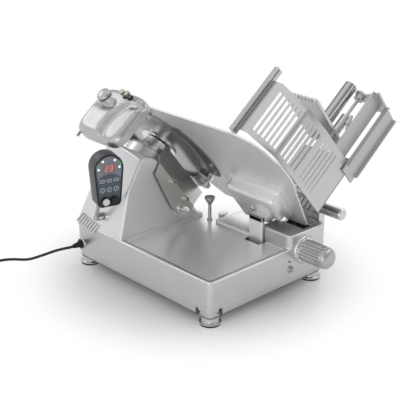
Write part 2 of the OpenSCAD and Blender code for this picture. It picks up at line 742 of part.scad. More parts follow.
// outline with a round top, sides that draw in and two round lower corners
egg_z = panel_h / 2 - panel_r;
low_x = panel_low_w / 2 - panel_low_r;
low_z_mid = panel_low_r - panel_h / 2;
egg_a = atan2(low_z_mid - egg_z, low_x) + acos((panel_r - panel_low_r) / norm([low_x, low_z_mid - egg_z]));
function arc(x, z, r, a, b, n) = [for (i = [0:n]) let (t = a + (b - a) * i / n)
  [x + r * cos(t), z + r * sin(t)]];
module egg(inset) {
  polygon(concat(arc(low_x, low_z_mid, panel_low_r - inset, -90, egg_a, 8),
    arc(0, egg_z, panel_r - inset, egg_a, 180 - egg_a, 40),
    arc(-low_x, low_z_mid, panel_low_r - inset, 180 - egg_a, 270, 8)));
}

module panel_plate(y0, y1) {
  panel_frame() translate([0, y1, 0]) rotate([90, 0, 0]) linear_extrude(y1 - y0) children();
}

start_at = [-13, -57];
stop_at = [13, -57];
lamp_at = [[-17, 57], [17, 57], [-29.5, 36], [29.5, 36]];
show_at = [-15, 27];
show_size = [30, 19];
lamp_r = 3.5;
button_r = 9.5;
screw_z = -66.5;
stem_z = -46;
module panel_case() color("dimgray") difference() {
  union() {
    panel_plate(0, panel_depth - 6) egg(0);
    panel_plate(0, panel_depth) egg(6);
  }
  panel_plate(-1, panel_depth - 10) egg(5);
  panel_frame() translate([0, panel_depth - 11, stem_z]) rotate([-90, 0, 0]) cylinder(r = 6, h = 20);
}

module panel_fascia() color("slategray") difference() {
  panel_plate(1, 4) egg(5);
  panel_plate(0, 5) translate(show_at) square(show_size);
  for (p = [start_at, stop_at]) panel_plate(0, 5) translate(p) circle(button_r + 0.3);
  for (p = lamp_at) panel_plate(0, 5) translate(p) circle(lamp_r);
  panel_plate(0, 5) translate([0, screw_z]) circle(2.5);
}

module display_window() color("black") panel_plate(1.5, 5) translate(show_at) square(show_size);

module panel_lamps() color("white") for (p = lamp_at) panel_plate(0, 4) translate(p) circle(lamp_r);

module panel_keys() color("gainsboro") for (r = [[3, 23], [-24, 20]]) for (k = [-1, 0, 1])
  panel_plate(0.2, 1) translate([k * r[1] - 5, r[0] - 5]) square([10, 10]);

module push_button(p) {
  panel_plate(-9, 5) translate(p) circle(button_r);
}

module start_button() color("white") push_button(start_at);
module stop_button() color("black") push_button(stop_at);

// bezels and the screw between them
module panel_screw() color("dimgray") {
  for (p = [start_at, stop_at]) panel_plate(-6, 1) translate(p) difference() {
    circle(d = bezel_d);
    circle(button_r + 0.3);
  }
  panel_plate(-1, 4) translate([0, screw_z]) circle(2.5);
}

module rod_between(p, q, r) {
  d = q - p;
  translate(p) rotate([0, acos(d[2] / norm(d)), atan2(d[1], d[0])]) cylinder(r = r, h = norm(d));
}

module panel_stem() color("silver") {
  panel_frame() translate([0, panel_depth - 4, stem_z]) rotate([-90, 0, 0]) cylinder(r = 6, h = 14);
  at_base() translate(panel_spot(0, panel_depth + 10, stem_z)) sphere(7);
  at_base() rod_between(panel_spot(0, panel_depth + 10, stem_z), stem_at, 6);
  at_base() translate(stem_at) sphere(8);
  at_base() translate(stem_at) rotate([0, 90, 0]) cylinder(r = 6, h = 26);
  at_base() translate(stem_at + [2, 0, 0]) rotate([0, 90, 0]) cylinder(r = 12, h = 15);
}

car_far = car_near + car_l;
top_w = 27;
top_drop = 4;
car_pts = [[-car_back, car_top], [-car_back - top_w, car_top - top_drop], [-car_front + bend_y, bend_u],
  [-car_front + 0.4 * bend_y, 0], [-car_front, -car_bot]];

module folded(t) {
  polygon(concat(car_pts, [for (i = [len(car_pts) - 1:-1:0]) path_offset(car_pts, i, t)]));
}

// space inside the folded sheet
module inside(t) {
  polygon(concat([for (i = [0:len(car_pts) - 1]) path_offset(car_pts, i, t)],
    [[-200, -car_bot], [-200, car_top]]));
}

slot_n0 = car_near + 16;
slot_l = car_l - 36;
// slot along the feed through one facet of the sheet
module slot_in(a, b, f, w) {
  c = a + (b - a) * f;
  tilted() translate([slot_n0, c[0], c[1]]) rotate([atan2(b[1] - a[1], b[0] - a[0]), 0, 0])
    translate([0, 0, -12]) linear_extrude(24) {
      translate([w / 2, -w / 2]) square([slot_l - w, w]);
      for (x = [w / 2, slot_l - w / 2]) translate([x, 0]) circle(w / 2);
    }
}

module guard_panel() color("silver") difference() {
  plate_at(car_near, car_l) folded(sheet_t);
  for (k = [0:5]) slot_in(car_pts[1], car_pts[2], 0.12 + k * 0.152, 8);
  for (k = [0:4]) slot_in(car_pts[2], car_pts[3], 0.16 + k * 0.17, 8);
  for (k = [0:4]) slot_in(car_pts[3], car_pts[4], 0.1 + k * 0.11, 5);
  // lower edge level with the food table
  tilted() block(car_near - 1, car_far + 1, -car_front - 10, -car_front + 20, -car_bot - 10, -car_bot);
}

table_t = 5;
module food_table() color("silver") tilted() {
  block(car_near, car_far + 20, -car_front, -table_back, -car_bot - table_t, -car_bot);
  for (k = [0:8]) translate([0, -table_back - 22 - k * 17, 0])
    block(car_near, car_far + 20, 0, 6, -car_bot - 1, -car_bot + 2.5);
}

fence_w = 15;
fence_h = 14;
fence_low = 6;
// grooved rail along the back edge of the sheet
module carriage_fence() color("silver") plate_at(car_near - 14, car_l + 48)
  translate([-car_back + 0.6, car_top]) polygon([[0, -fence_low], [fence_w, -fence_low],
    [fence_w, fence_h], [0, fence_h], [0, fence_h - 3], [4, fence_h - 3], [4, fence_h - 8], [0, fence_h - 8]]);

arm_u0 = -186;
arm_u1 = -124;
web_u0 = -120;
web_u1 = -62;
end_n = 378;
push_at = [front + 45, -93];
tube_at = [front + 71, -63];
module carriage_arm() color("silver") difference() {
  union() {
    tilted() block(car_far - 30, end_n + 6, -car_front - 5, -car_front, arm_u0, arm_u1);
    tilted() block(car_far - 10, end_n + 6, -car_front - 14, -car_front - 4, arm_u0, arm_u0 + 4);
    tilted() block(car_far - 10, end_n + 6, -car_front - 14, -car_front - 4, arm_u1 - 4, arm_u1);
    plate_at(end_n, 6) {
      polygon([[-car_front - 5, arm_u0 + 36], [-car_front - 5, web_u1 + 2], [push_at[0] - 17, push_at[1] + 6],
        [push_at[0] + 10, push_at[1] - 15], [push_at[0] - 20, arm_u0 + 36]]);
      translate(push_at) circle(18);
    }
    // web beside the folded sheet
    tilted() block(car_far - 20, end_n + 6, -car_front + 12, -car_front + 17, web_u0, web_u1);
    plate_at(end_n - 14, 14) translate(push_at) circle(14);
  }
  plate_at(end_n - 15, 30) translate(push_at) circle(push_rod_r);
}

// guide rod of the pusher with its lower lug on the folded sheet
module pusher_rod() color("silver") {
  plate_at(car_near + 10, end_n - car_near - 4) translate(push_at) circle(push_rod_r);
  plate_at(car_near + 10, 8) intersection() {
    inside(sheet_t);
    union() {
      translate(push_at) circle(12);
      translate([-car_front, push_at[1] - 12]) square([car_front + push_at[0], 24]);
    }
  }
}

push_n = 220;
wing_n = 284;
tube_end = 384;
head_w = 122;
head_u0 = -125;
head_u1 = 78;
module pusher_head() color("silver") difference() {
  union() {
    plate_at(push_n, 8) translate([front + 13, head_u0]) rrect(head_w, head_u1 - head_u0, 10);
    plate_at(push_n, wing_n + 16 - push_n) translate(push_at) circle(14);
    plate_at(push_n, tube_end - push_n) translate(tube_at) circle(push_tube_r);
  }
  plate_at(push_n - 1, 180) translate(push_at) circle(push_rod_r + run_fit);
  plate_at(push_n + 30, 240) translate(tube_at) circle(push_tube_r - 3);
  // teeth along the upper edge
  for (k = [0:7]) plate_at(push_n - 1, 10) translate([front + 26 + k * 12, head_u1 - 9]) square([6, 20]);
  tilted() translate([wing_n, push_at[0] - 20, push_at[1]]) rotate([-90, 0, 0])
    cylinder(r = 4 + run_fit, h = 12);
}

module pusher_wing() color("white") tilted() translate([wing_n, push_at[0], push_at[1]]) rotate([90, 0, 0]) {
  translate([0, 0, 9]) cylinder(r = 4, h = 12);
  translate([0, 0, 15]) cylinder(r = 9, h = 8);
  rotate(30) translate([-22, -5, 18]) cube([44, 10, 10]);
}

module carriage_foot() color("silver") difference() {
  at_base() {
    block(base_w + 2, base_w + 26, 25, 150, 60, 330);
    block(rod_x - 16, base_w + 26, 40, 112, low_z - 11, rod_z + 20);
  }
  tilted() block(-200, 500, -900, 200, -car_bot - table_t, 400);
  at_base() translate([rod_x, 0, rod_z]) rotate([-90, 0, 0]) cylinder(r = rod_r + run_fit, h = 200);
  at_base() translate([rod_x, 0, rod_z - rod_drop]) rotate([-90, 0, 0]) cylinder(r = 6 + run_fit, h = 200);
  at_base() translate([base_w + 14, 0, handle_z]) rotate([-90, 0, 0]) cylinder(r = 6 + run_fit, h = 80);
}

module slide_rods() color("silver") at_base() {
  translate([rod_x, rod_y0, rod_z]) rotate([-90, 0, 0]) cylinder(r = rod_r, h = rod_y1 + 4 - rod_y0);
  translate([rod_x, rod_y0, rod_z - rod_drop]) rotate([-90, 0, 0]) cylinder(r = 6, h = rod_y1 + 4 - rod_y0);
}

module carriage_knob() color("silver") at_base() translate([base_w + 14, 24.5, handle_z]) rotate([90, 0, 0]) {
  translate([0, 0, -50]) cylinder(r = 6, h = 52);
  cylinder(r = 17, h = 70);
  translate([0, 0, 70]) cylinder(r1 = 17, r2 = 14, h = 4);
}

gland_x = -30;
module cord_gland() color("black") at_base() translate([0, cord_y, cord_z]) rotate([0, -90, 0]) difference() {
  union() {
    translate([0, 0, -wall]) cylinder(r = 9, h = wall + 1);
    cylinder(r = 14, h = 5);
    translate([0, 0, 5]) cylinder(r1 = 10, r2 = cord_d / 2 + 2, h = -gland_x - 5);
  }
  translate([0, 0, -wall - 1]) cylinder(d = cord_d, h = 80);
}

// round tube along a list of points
function tangent(p, i) = unit(p[min(i + 1, len(p) - 1)] - p[max(i - 1, 0)]);
function hoop(p, i, r, n) = let (t = tangent(p, i), s = unit(cross(t, [0, 0, 1])), u = cross(s, t))
  [for (k = [0:n - 1]) p[i] + r * (cos(360 * k / n) * s + sin(360 * k / n) * u)];
module tube(p, r, n) {
  m = len(p);
  polyhedron(points = [for (i = [0:m - 1]) each hoop(p, i, r, n)],
    faces = concat([[for (k = [0:n - 1]) k]], [[for (k = [n - 1:-1:0]) (m - 1) * n + k]],
      [for (i = [0:m - 2], k = [0:n - 1])
        [i * n + k, (i + 1) * n + k, (i + 1) * n + (k + 1) % n, i * n + (k + 1) % n]]));
}

rest_z = cord_d / 2 + 0.4;
coil_r = 60;
coil_step = cord_d + 0.8;
lay_y = cord_y + 182;
coil_x = -345;
coil_y = lay_y - coil_r;
stretch = [[-6, cord_y, cord_z], [-18, cord_y, cord_z], [-30, cord_y, cord_z], [-42, cord_y + 2, cord_z - 0.4],
  [-52, cord_y + 8, cord_z - 1.8], [-60, cord_y + 17, cord_z - 5.2], [-69, cord_y + 33, cord_z - 12.5],
  [-78, cord_y + 50, cord_z - 21.5], [-86, cord_y + 65, cord_z - 30], [-94, cord_y + 80, cord_z - 38],
  [-102, cord_y + 94, rest_z + 14.2], [-111, cord_y + 108, rest_z + 7.8], [-118.5, cord_y + 123.5, rest_z + 3.2],
  [-127, cord_y + 139, rest_z + 0.8], [-139, cord_y + 154, rest_z], [-155, cord_y + 166, rest_z],
  [-175, cord_y + 174, rest_z], [-200, cord_y + 179, rest_z], [-230, cord_y + 181.4, rest_z],
  [-262, lay_y, rest_z], [-292, lay_y, rest_z], [-320, lay_y, rest_z], [coil_x + 8, lay_y, rest_z],
  [coil_x, lay_y, rest_z]];
module mains_cord() color("black") at_base() tube(stretch, cord_d / 2, 10);

// two layers: inward on the table, up one layer in the half turn, then outward
in_turns = 2;
out_turns = 1.75;
function coil_radius(s) = coil_r - coil_step * (in_turns + 0.25 - abs(s - in_turns - 0.25));
function coil_height(s) = s < in_turns ? 0
  : s < in_turns + 0.5 ? (1 - cos(360 * (s - in_turns))) / 2 * coil_step :
  s < in_turns + 0.5 + out_turns - 0.5 ? coil_step :
  coil_step + (1 - cos(360 * (s - in_turns - out_turns))) / 2 * 8;
coil_end = in_turns + 0.5 + out_turns;
function coil_point(s) = [coil_x + coil_radius(s) * cos(90 + 360 * s), coil_y + coil_radius(s) * sin(90 + 360 * s),
  rest_z + coil_height(s)];
coil_pts = concat([for (i = [0:24 * coil_end]) coil_point(i / 24)],
  [coil_point(coil_end) + [0, -cord_d, 0], coil_point(coil_end) + [0, -2 * cord_d, 0]]);
module cord_coil() color("black") at_base() tube(coil_pts, cord_d / 2, 6);
coil_gap = min([for (i = [0:len(coil_pts) - 1], j = [0:len(coil_pts) - 1]) if (j > i + 12)
  norm(coil_pts[j] - coil_pts[i])]) - cord_d;
echo("least gap in the coil", coil_gap);

plug_r = 17;
module mains_plug() color("black") at_base() translate(coil_pts[len(coil_pts) - 1]) rotate([90, 0, 0]) {
  cylinder(r1 = 6, r2 = 9, h = 14);
  translate([0, 0, 14]) cylinder(r1 = 9, r2 = plug_r, h = 8);
  translate([0, 0, 22]) cylinder(r = plug_r, h = 20);
  for (x = [-9.5, 9.5]) translate([x, 0, 42]) cylinder(r = 2.4, h = 19);
}

base_casting();
bottom_cover();
feet();
foot_pads();
motor_housing();
motor();
motor_shaft();
drive_belt();
blade_pulley();
blade_hub();
hub_bearings();
blade_neck();
blade();
blade_screws();
blade_cover();
cover_tie_rod();
ring_guard();
guard_knob();
slice_deflector();
deflector_rivets();
deflector_nut();
deflector_post();
gauge_plate();
gauge_edge_strip();
strip_bolts();
gauge_bracket();
cover_screw();
gauge_rod();
thickness_knob();
knob_shaft();
lock_button();
sharpener_body();
sharpener_lid();
sharpener_knob();
sharpener_buttons();
sharpener_stones();
sharpener_bracket();
panel_case();
panel_fascia();
display_window();
panel_lamps();
panel_keys();
start_button();
stop_button();
panel_screw();
panel_stem();
guard_panel();
food_table();
carriage_fence();
carriage_arm();
carriage_foot();
slide_rods();
carriage_knob();
pusher_rod();
pusher_head();
pusher_wing();
cord_gland();
mains_cord();
cord_coil();
mains_plug();
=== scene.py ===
import bpy, bmesh, json, math
from mathutils import Matrix, Vector


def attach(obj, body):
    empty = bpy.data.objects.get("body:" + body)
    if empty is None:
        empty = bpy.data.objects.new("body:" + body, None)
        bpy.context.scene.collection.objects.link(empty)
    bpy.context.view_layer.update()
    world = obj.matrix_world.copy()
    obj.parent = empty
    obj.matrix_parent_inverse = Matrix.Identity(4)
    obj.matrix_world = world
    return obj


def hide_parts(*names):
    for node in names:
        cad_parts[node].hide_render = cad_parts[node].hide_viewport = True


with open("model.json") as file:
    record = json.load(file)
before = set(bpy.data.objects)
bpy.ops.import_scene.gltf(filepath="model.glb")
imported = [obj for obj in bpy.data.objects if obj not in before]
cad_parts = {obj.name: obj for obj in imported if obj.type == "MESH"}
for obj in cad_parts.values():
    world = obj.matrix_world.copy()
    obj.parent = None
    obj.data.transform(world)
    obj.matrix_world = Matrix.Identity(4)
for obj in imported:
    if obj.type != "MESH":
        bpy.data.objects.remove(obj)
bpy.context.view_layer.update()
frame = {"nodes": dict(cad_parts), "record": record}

nodes = frame["nodes"]
scene = bpy.context.scene
scene.view_settings.view_transform = "Standard"
print("frame loaded,", len(nodes), "nodes")


def moved(x, y, z):
    return Matrix.Translation((x, y, z))


def spun(degrees, axis):
    return Matrix.Rotation(math.radians(degrees), 4, axis)


def addObject(label, data):
    made = bpy.data.objects.new(label, data)
    scene.collection.objects.link(made)
    return made


# places shared by several pieces, in metres from the front left foot
feedAngle = 38
feedTilt = math.radians(feedAngle)
bladeCentre = (0.247, 0.469, 0.329)
feedFrame = moved(*bladeCentre) @ spun(-feedAngle, "Y")  # local X leaves the blade, local Z goes up the gauge plate
panelFrame = moved(-0.067, 0.319, 0.324) @ spun(-16, "Z") @ spun(2, "X")  # local Y goes into the panel

# camera, fitted to the photograph
cameraSettings = {
    "place": (-1.582, -1.6496, 1.2739),
    "right": (0.72965625, -0.68381413, 0.0),
    "up": (0.2573529, 0.27460554, 0.92647789),
    "back": (-0.63353867, -0.67601038, 0.3763492),
    "lens": 89.723,
    "sensor": 36,
}
cameraData = bpy.data.cameras.new("photoCamera")
cameraData.sensor_fit = "HORIZONTAL"
cameraData.sensor_width = cameraSettings["sensor"]
cameraData.lens = cameraSettings["lens"]
camera = addObject("photoCamera", cameraData)
axes = Matrix([cameraSettings[key] for key in ("right", "up", "back")]).transposed()
camera.matrix_world = moved(*cameraSettings["place"]) @ axes.to_4x4()
scene.camera = camera

# mains cord: out of the gland, down to the table, away to the left and into its coil
cordSettings = {"diameter": 0.008, "exitX": -0.056, "outletY": 0.514, "outletZ": 0.064, "aside": 0.182, "restZ": 0.0044,
                "coilX": -0.371, "coilRadius": 0.060, "turnsIn": 2.0, "turnsOut": 1.75, "step": 0.0088, "lift": 0.008,
                "turnPoints": 24}


def cordRoute(c):
    y, z, low = c["outletY"], c["outletZ"], c["restZ"]
    drop = [(-0.032, 0, z), (-0.044, 0, z), (-0.056, 0, z), (-0.068, 0.002, z - 0.0004), (-0.078, 0.008, z - 0.0018),
            (-0.086, 0.017, z - 0.0052), (-0.095, 0.033, z - 0.0125), (-0.104, 0.050, z - 0.0215),
            (-0.112, 0.065, z - 0.030), (-0.120, 0.080, z - 0.038), (-0.128, 0.094, low + 0.0142),
            (-0.137, 0.108, low + 0.0078), (-0.1445, 0.1235, low + 0.0032), (-0.153, 0.139, low + 0.0008)]
    lying = [(-0.165, 0.154), (-0.181, 0.166), (-0.201, 0.174), (-0.226, 0.179), (-0.256, 0.1814), (-0.288, 0.182),
             (-0.318, 0.182), (-0.346, 0.182)]
    route = [Vector((x, y + dy, h)) for x, dy, h in drop] + [Vector((x, y + dy, low)) for x, dy in lying]
    turns = c["turnsIn"] + 0.5 + c["turnsOut"]
    coilY = y + c["aside"] - c["coilRadius"]
    for i in range(int(c["turnPoints"] * turns) + 1):
        s = i / c["turnPoints"]
        r = c["coilRadius"] - c["step"] * (c["turnsIn"] + 0.25 - abs(s - c["turnsIn"] - 0.25))
        if s < c["turnsIn"]:
            h = 0
        elif s < c["turnsIn"] + 0.5:
            h = (1 - math.cos(2 * math.pi * (s - c["turnsIn"]))) / 2 * c["step"]
        elif s < turns - 0.5:
            h = c["step"]
        else:
            h = c["step"] + (1 - math.cos(2 * math.pi * (s - c["turnsIn"] - c["turnsOut"]))) / 2 * c["lift"]
        a = math.pi / 2 + 2 * math.pi * s
        route.append(Vector((c["coilX"] + r * math.cos(a), coilY + r * math.sin(a), low + h)))
    return route + [route[-1] + Vector((0, -c["diameter"] * i, 0)) for i in (1, 2)]


def makeCord(c):
    route = cordRoute(c)
    curve = bpy.data.curves.new("mainsLead", "CURVE")
    curve.dimensions = "3D"
    curve.bevel_depth = 1.0  # each point's radius gives the thickness
    curve.bevel_resolution = 4
    curve.resolution_u = 4
    curve.use_fill_caps = True
    spline = curve.splines.new("BEZIER")
    spline.bezier_points.add(len(route) - 1)
    for point, place in zip(spline.bezier_points, route):
        point.co = place
        point.radius = c["diameter"] / 2
        point.handle_left_type = point.handle_right_type = "AUTO"
    lead = addObject("mainsLead", curve)
    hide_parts("mains_cord", "cord_coil")
    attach(lead, "frame")
    return lead


mainsLead = makeCord(cordSettings)


# sockets among the values are linked, and plain values are set
def setSockets(tree, node, values):
    for key, value in values.items():
        if isinstance(value, bpy.types.NodeSocket):
            tree.links.new(value, node.inputs[key])
        else:
            node.inputs[key].default_value = value


def addNode(tree, kind, values=None, **settings):
    node = tree.nodes.new("ShaderNode" + kind)
    for key, value in settings.items():
        setattr(node, key, value)
    setSockets(tree, node, values or {})
    return node


def addNoise(tree, vector, scale, detail, roughness=0.6, distortion=0.0):
    return addNode(tree, "TexNoise", {"Vector": vector, "Scale": scale, "Detail": detail, "Roughness": roughness,
                                      "Distortion": distortion}).outputs["Fac"]


def mapValue(tree, source, low, high, start=0.3, stop=0.7, **settings):
    return addNode(tree, "MapRange", {"Value": source, "From Min": start, "From Max": stop, "To Min": low,
                                      "To Max": high}, **settings).outputs["Result"]


def addMath(tree, operation, first, second, kind="Math"):
    return addNode(tree, kind, {0: first, 1: second}, operation=operation).outputs


# shader groups shared by the finishes: each takes a vector and one value, and puts out masks
def makeGroup(name, build, label, value):
    group = bpy.data.node_groups.new(name, "ShaderNodeTree")
    group.interface.new_socket("Vector", in_out="INPUT", socket_type="NodeSocketVector")
    group.interface.new_socket(label, in_out="INPUT", socket_type="NodeSocketFloat").default_value = value
    enter = group.nodes.new("NodeGroupInput").outputs
    masks = build(group, enter["Vector"], enter[label])
    for mask in masks:
        group.interface.new_socket(mask, in_out="OUTPUT", socket_type="NodeSocketFloat")
    setSockets(group, group.nodes.new("NodeGroupOutput"), masks)
    return group


def brushedLines(tree, vector, lines):
    # long fine scratches along the local X of the vector
    drawn = addMath(tree, "MULTIPLY", vector, (0.03, 1, 1), "VectorMath")["Vector"]
    return {"Line": addNoise(tree, drawn, lines, detail=3.0)}


def fineGrain(tree, vector, scale):
    # fine pits of a blasted or moulded skin, with a slow mottle
    return {"Pits": addNoise(tree, vector, scale, detail=2.0), "Mottle": addNoise(tree, vector, 14.0, detail=5.0)}


def handlingSmudge(tree, vector, amount):
    # wiped patches and faint prints left by handling
    wide = addNoise(tree, vector, 22.0, detail=6.0, roughness=0.62, distortion=0.8)
    patches = mapValue(tree, wide, 0.0, 1.0, start=0.45, stop=0.75)
    return {"Smudge": addMath(tree, "MULTIPLY", patches, amount)["Value"]}


brushGroup = makeGroup("brushedLines", brushedLines, "Lines", 700.0)
grainGroup = makeGroup("fineGrain", fineGrain, "Scale", 900.0)
smudgeGroup = makeGroup("handlingSmudge", handlingSmudge, "Amount", 0.5)


def placeGroup(tree, group, vector, **values):
    return addNode(tree, "Group", {"Vector": vector, **values}, node_tree=group).outputs


def objectVector(tree, turn=(0, 0, 0)):
    coords = addNode(tree, "TexCoord")
    return addNode(tree, "Mapping", {"Vector": coords.outputs["Object"], "Rotation": turn}).outputs["Vector"]


def mixColour(tree, mask, low, high):
    return addNode(tree, "Mix", {0: mask, 6: (*low, 1), 7: (*high, 1)}, data_type="RGBA").outputs[2]


def bumpNormal(tree, height, strength, distance, edge=0.0):
    values = {"Strength": strength, "Distance": distance, "Height": height}
    if edge:
        values["Normal"] = addNode(tree, "Bevel", {"Radius": edge}, samples=6).outputs["Normal"]
    return addNode(tree, "Bump", values).outputs["Normal"]


# how far the rounded normal turns away from the face, as a mask of the edges
def edgeMask(tree, radius, flat=0.99, sharp=0.84):
    rounded = addNode(tree, "Bevel", {"Radius": radius}, samples=8)
    plain = addNode(tree, "NewGeometry")
    cosine = addMath(tree, "DOT_PRODUCT", rounded.outputs["Normal"], plain.outputs["Normal"], "VectorMath")["Value"]
    return mapValue(tree, cosine, 0.0, 1.0, flat, sharp)


# roughness that follows a mask, with duller smudges
def smudgedRoughness(tree, vector, mask, rough, amount, smear):
    smudge = placeGroup(tree, smudgeGroup, vector, Amount=amount)["Smudge"]
    smears = mapValue(tree, smudge, 0.0, smear, 0.0, 1.0)
    return addMath(tree, "ADD", mapValue(tree, mask, *rough), smears)["Value"]


# each look makes its nodes and says what goes into the shader's sockets
def satinLook(tree, low, high, rough, grain=700.0, bump=0.05, deep=0.0004, edge=0.003, metallic=1.0, worn=0.0):
    # blasted and hand-finished casting; where its edges are rounded the colour is lightened toward the given level as a
    # painted highlight
    vector = objectVector(tree)
    skin = placeGroup(tree, grainGroup, vector, Scale=grain)
    colour = mixColour(tree, skin["Mottle"], low, high)
    if worn:
        # painted highlight: lighter colour where the rounded-edge normal turns away from the face
        edgeHighlightMix = {0: edgeMask(tree, edge), 6: colour, 7: (worn, worn, worn, 1)}
        colour = addNode(tree, "Mix", edgeHighlightMix, data_type="RGBA").outputs[2]
    return {"Base Color": colour, "Metallic": metallic,
            "Roughness": smudgedRoughness(tree, vector, skin["Mottle"], rough, amount=0.5, smear=0.06),
            "Normal": bumpNormal(tree, skin["Pits"], bump, deep, edge)}


def brushedLook(tree, low, high, rough, turn, lines=520.0, bump=0.06, deep=0.0003, metallic=1.0, smear=0.07):
    # sheet or plate with straight grinding lines
    vector = objectVector(tree, turn)
    line = placeGroup(tree, brushGroup, vector, Lines=lines)["Line"]
    return {"Base Color": mixColour(tree, line, low, high), "Metallic": metallic,
            "Roughness": smudgedRoughness(tree, vector, line, rough, amount=0.4, smear=smear),
            "Normal": bumpNormal(tree, line, bump, deep)}


def polishedLook(tree, low, high, rough):
    # turned and polished metal with faint wipe marks
    smudge = placeGroup(tree, smudgeGroup, objectVector(tree), Amount=1.0)["Smudge"]
    return {"Base Color": mixColour(tree, smudge, high, low), "Metallic": 1.0,
            "Roughness": mapValue(tree, smudge, *rough, 0.0, 1.0)}


def groundLook(tree, low, high, rough, rings=900.0, bump=0.05, deep=0.0002, metallic=0.85):
    # ground in circles round the blade axis
    coords = addNode(tree, "TexCoord")
    mapping = addNode(tree, "Mapping", {"Vector": coords.outputs["Object"], "Location": bladeCentre,
                                        "Rotation": (0, -feedTilt, 0)}, vector_type="TEXTURE")
    apart = addNode(tree, "SeparateXYZ", {"Vector": mapping.outputs["Vector"]})
    flat = addNode(tree, "CombineXYZ", {"X": apart.outputs["Y"], "Y": apart.outputs["Z"]})
    radius = addNode(tree, "VectorMath", {0: flat.outputs["Vector"]}, operation="LENGTH")
    noise = addNode(tree, "TexNoise", {"W": radius.outputs["Value"], "Scale": rings, "Detail": 3.0, "Roughness": 0.65},
                    noise_dimensions="1D")
    ring = noise.outputs["Fac"]
    return {"Base Color": mixColour(tree, ring, low, high), "Metallic": metallic,
            "Roughness": mapValue(tree, ring, *rough), "Normal": bumpNormal(tree, ring, bump, deep)}


def mouldedLook(tree, low, high, rough, grain=1400.0, bump=0.12, deep=0.0003, specular=0.4):
    # moulded plastic or rubber skin
    skin = placeGroup(tree, grainGroup, objectVector(tree), Scale=grain)
    return {"Base Color": mixColour(tree, skin["Mottle"], low, high), "Specular IOR Level": specular,
            "Roughness": mapValue(tree, skin["Mottle"], *rough),
            "Normal": bumpNormal(tree, skin["Pits"], bump, deep)}


def glowLook(tree, colour, base, strength, grain=300.0, dim=0.85, rough=0.2):
    # small lit part with a slight mottle
    skin = placeGroup(tree, grainGroup, objectVector(tree), Scale=grain)
    return {"Emission Color": mixColour(tree, skin["Mottle"], [c * dim for c in colour], colour),
            "Base Color": (*base, 1), "Emission Strength": strength, "Roughness": rough}


def makeMaterial(name, look, *row, **more):
    material = bpy.data.materials.new(name)
    material.use_nodes = True
    tree = material.node_tree
    setSockets(tree, tree.nodes["Principled BSDF"], look(tree, *row, **more))
    return material


# slightly blue grey
def grey(level):
    return level, level + 0.005, level + 0.01


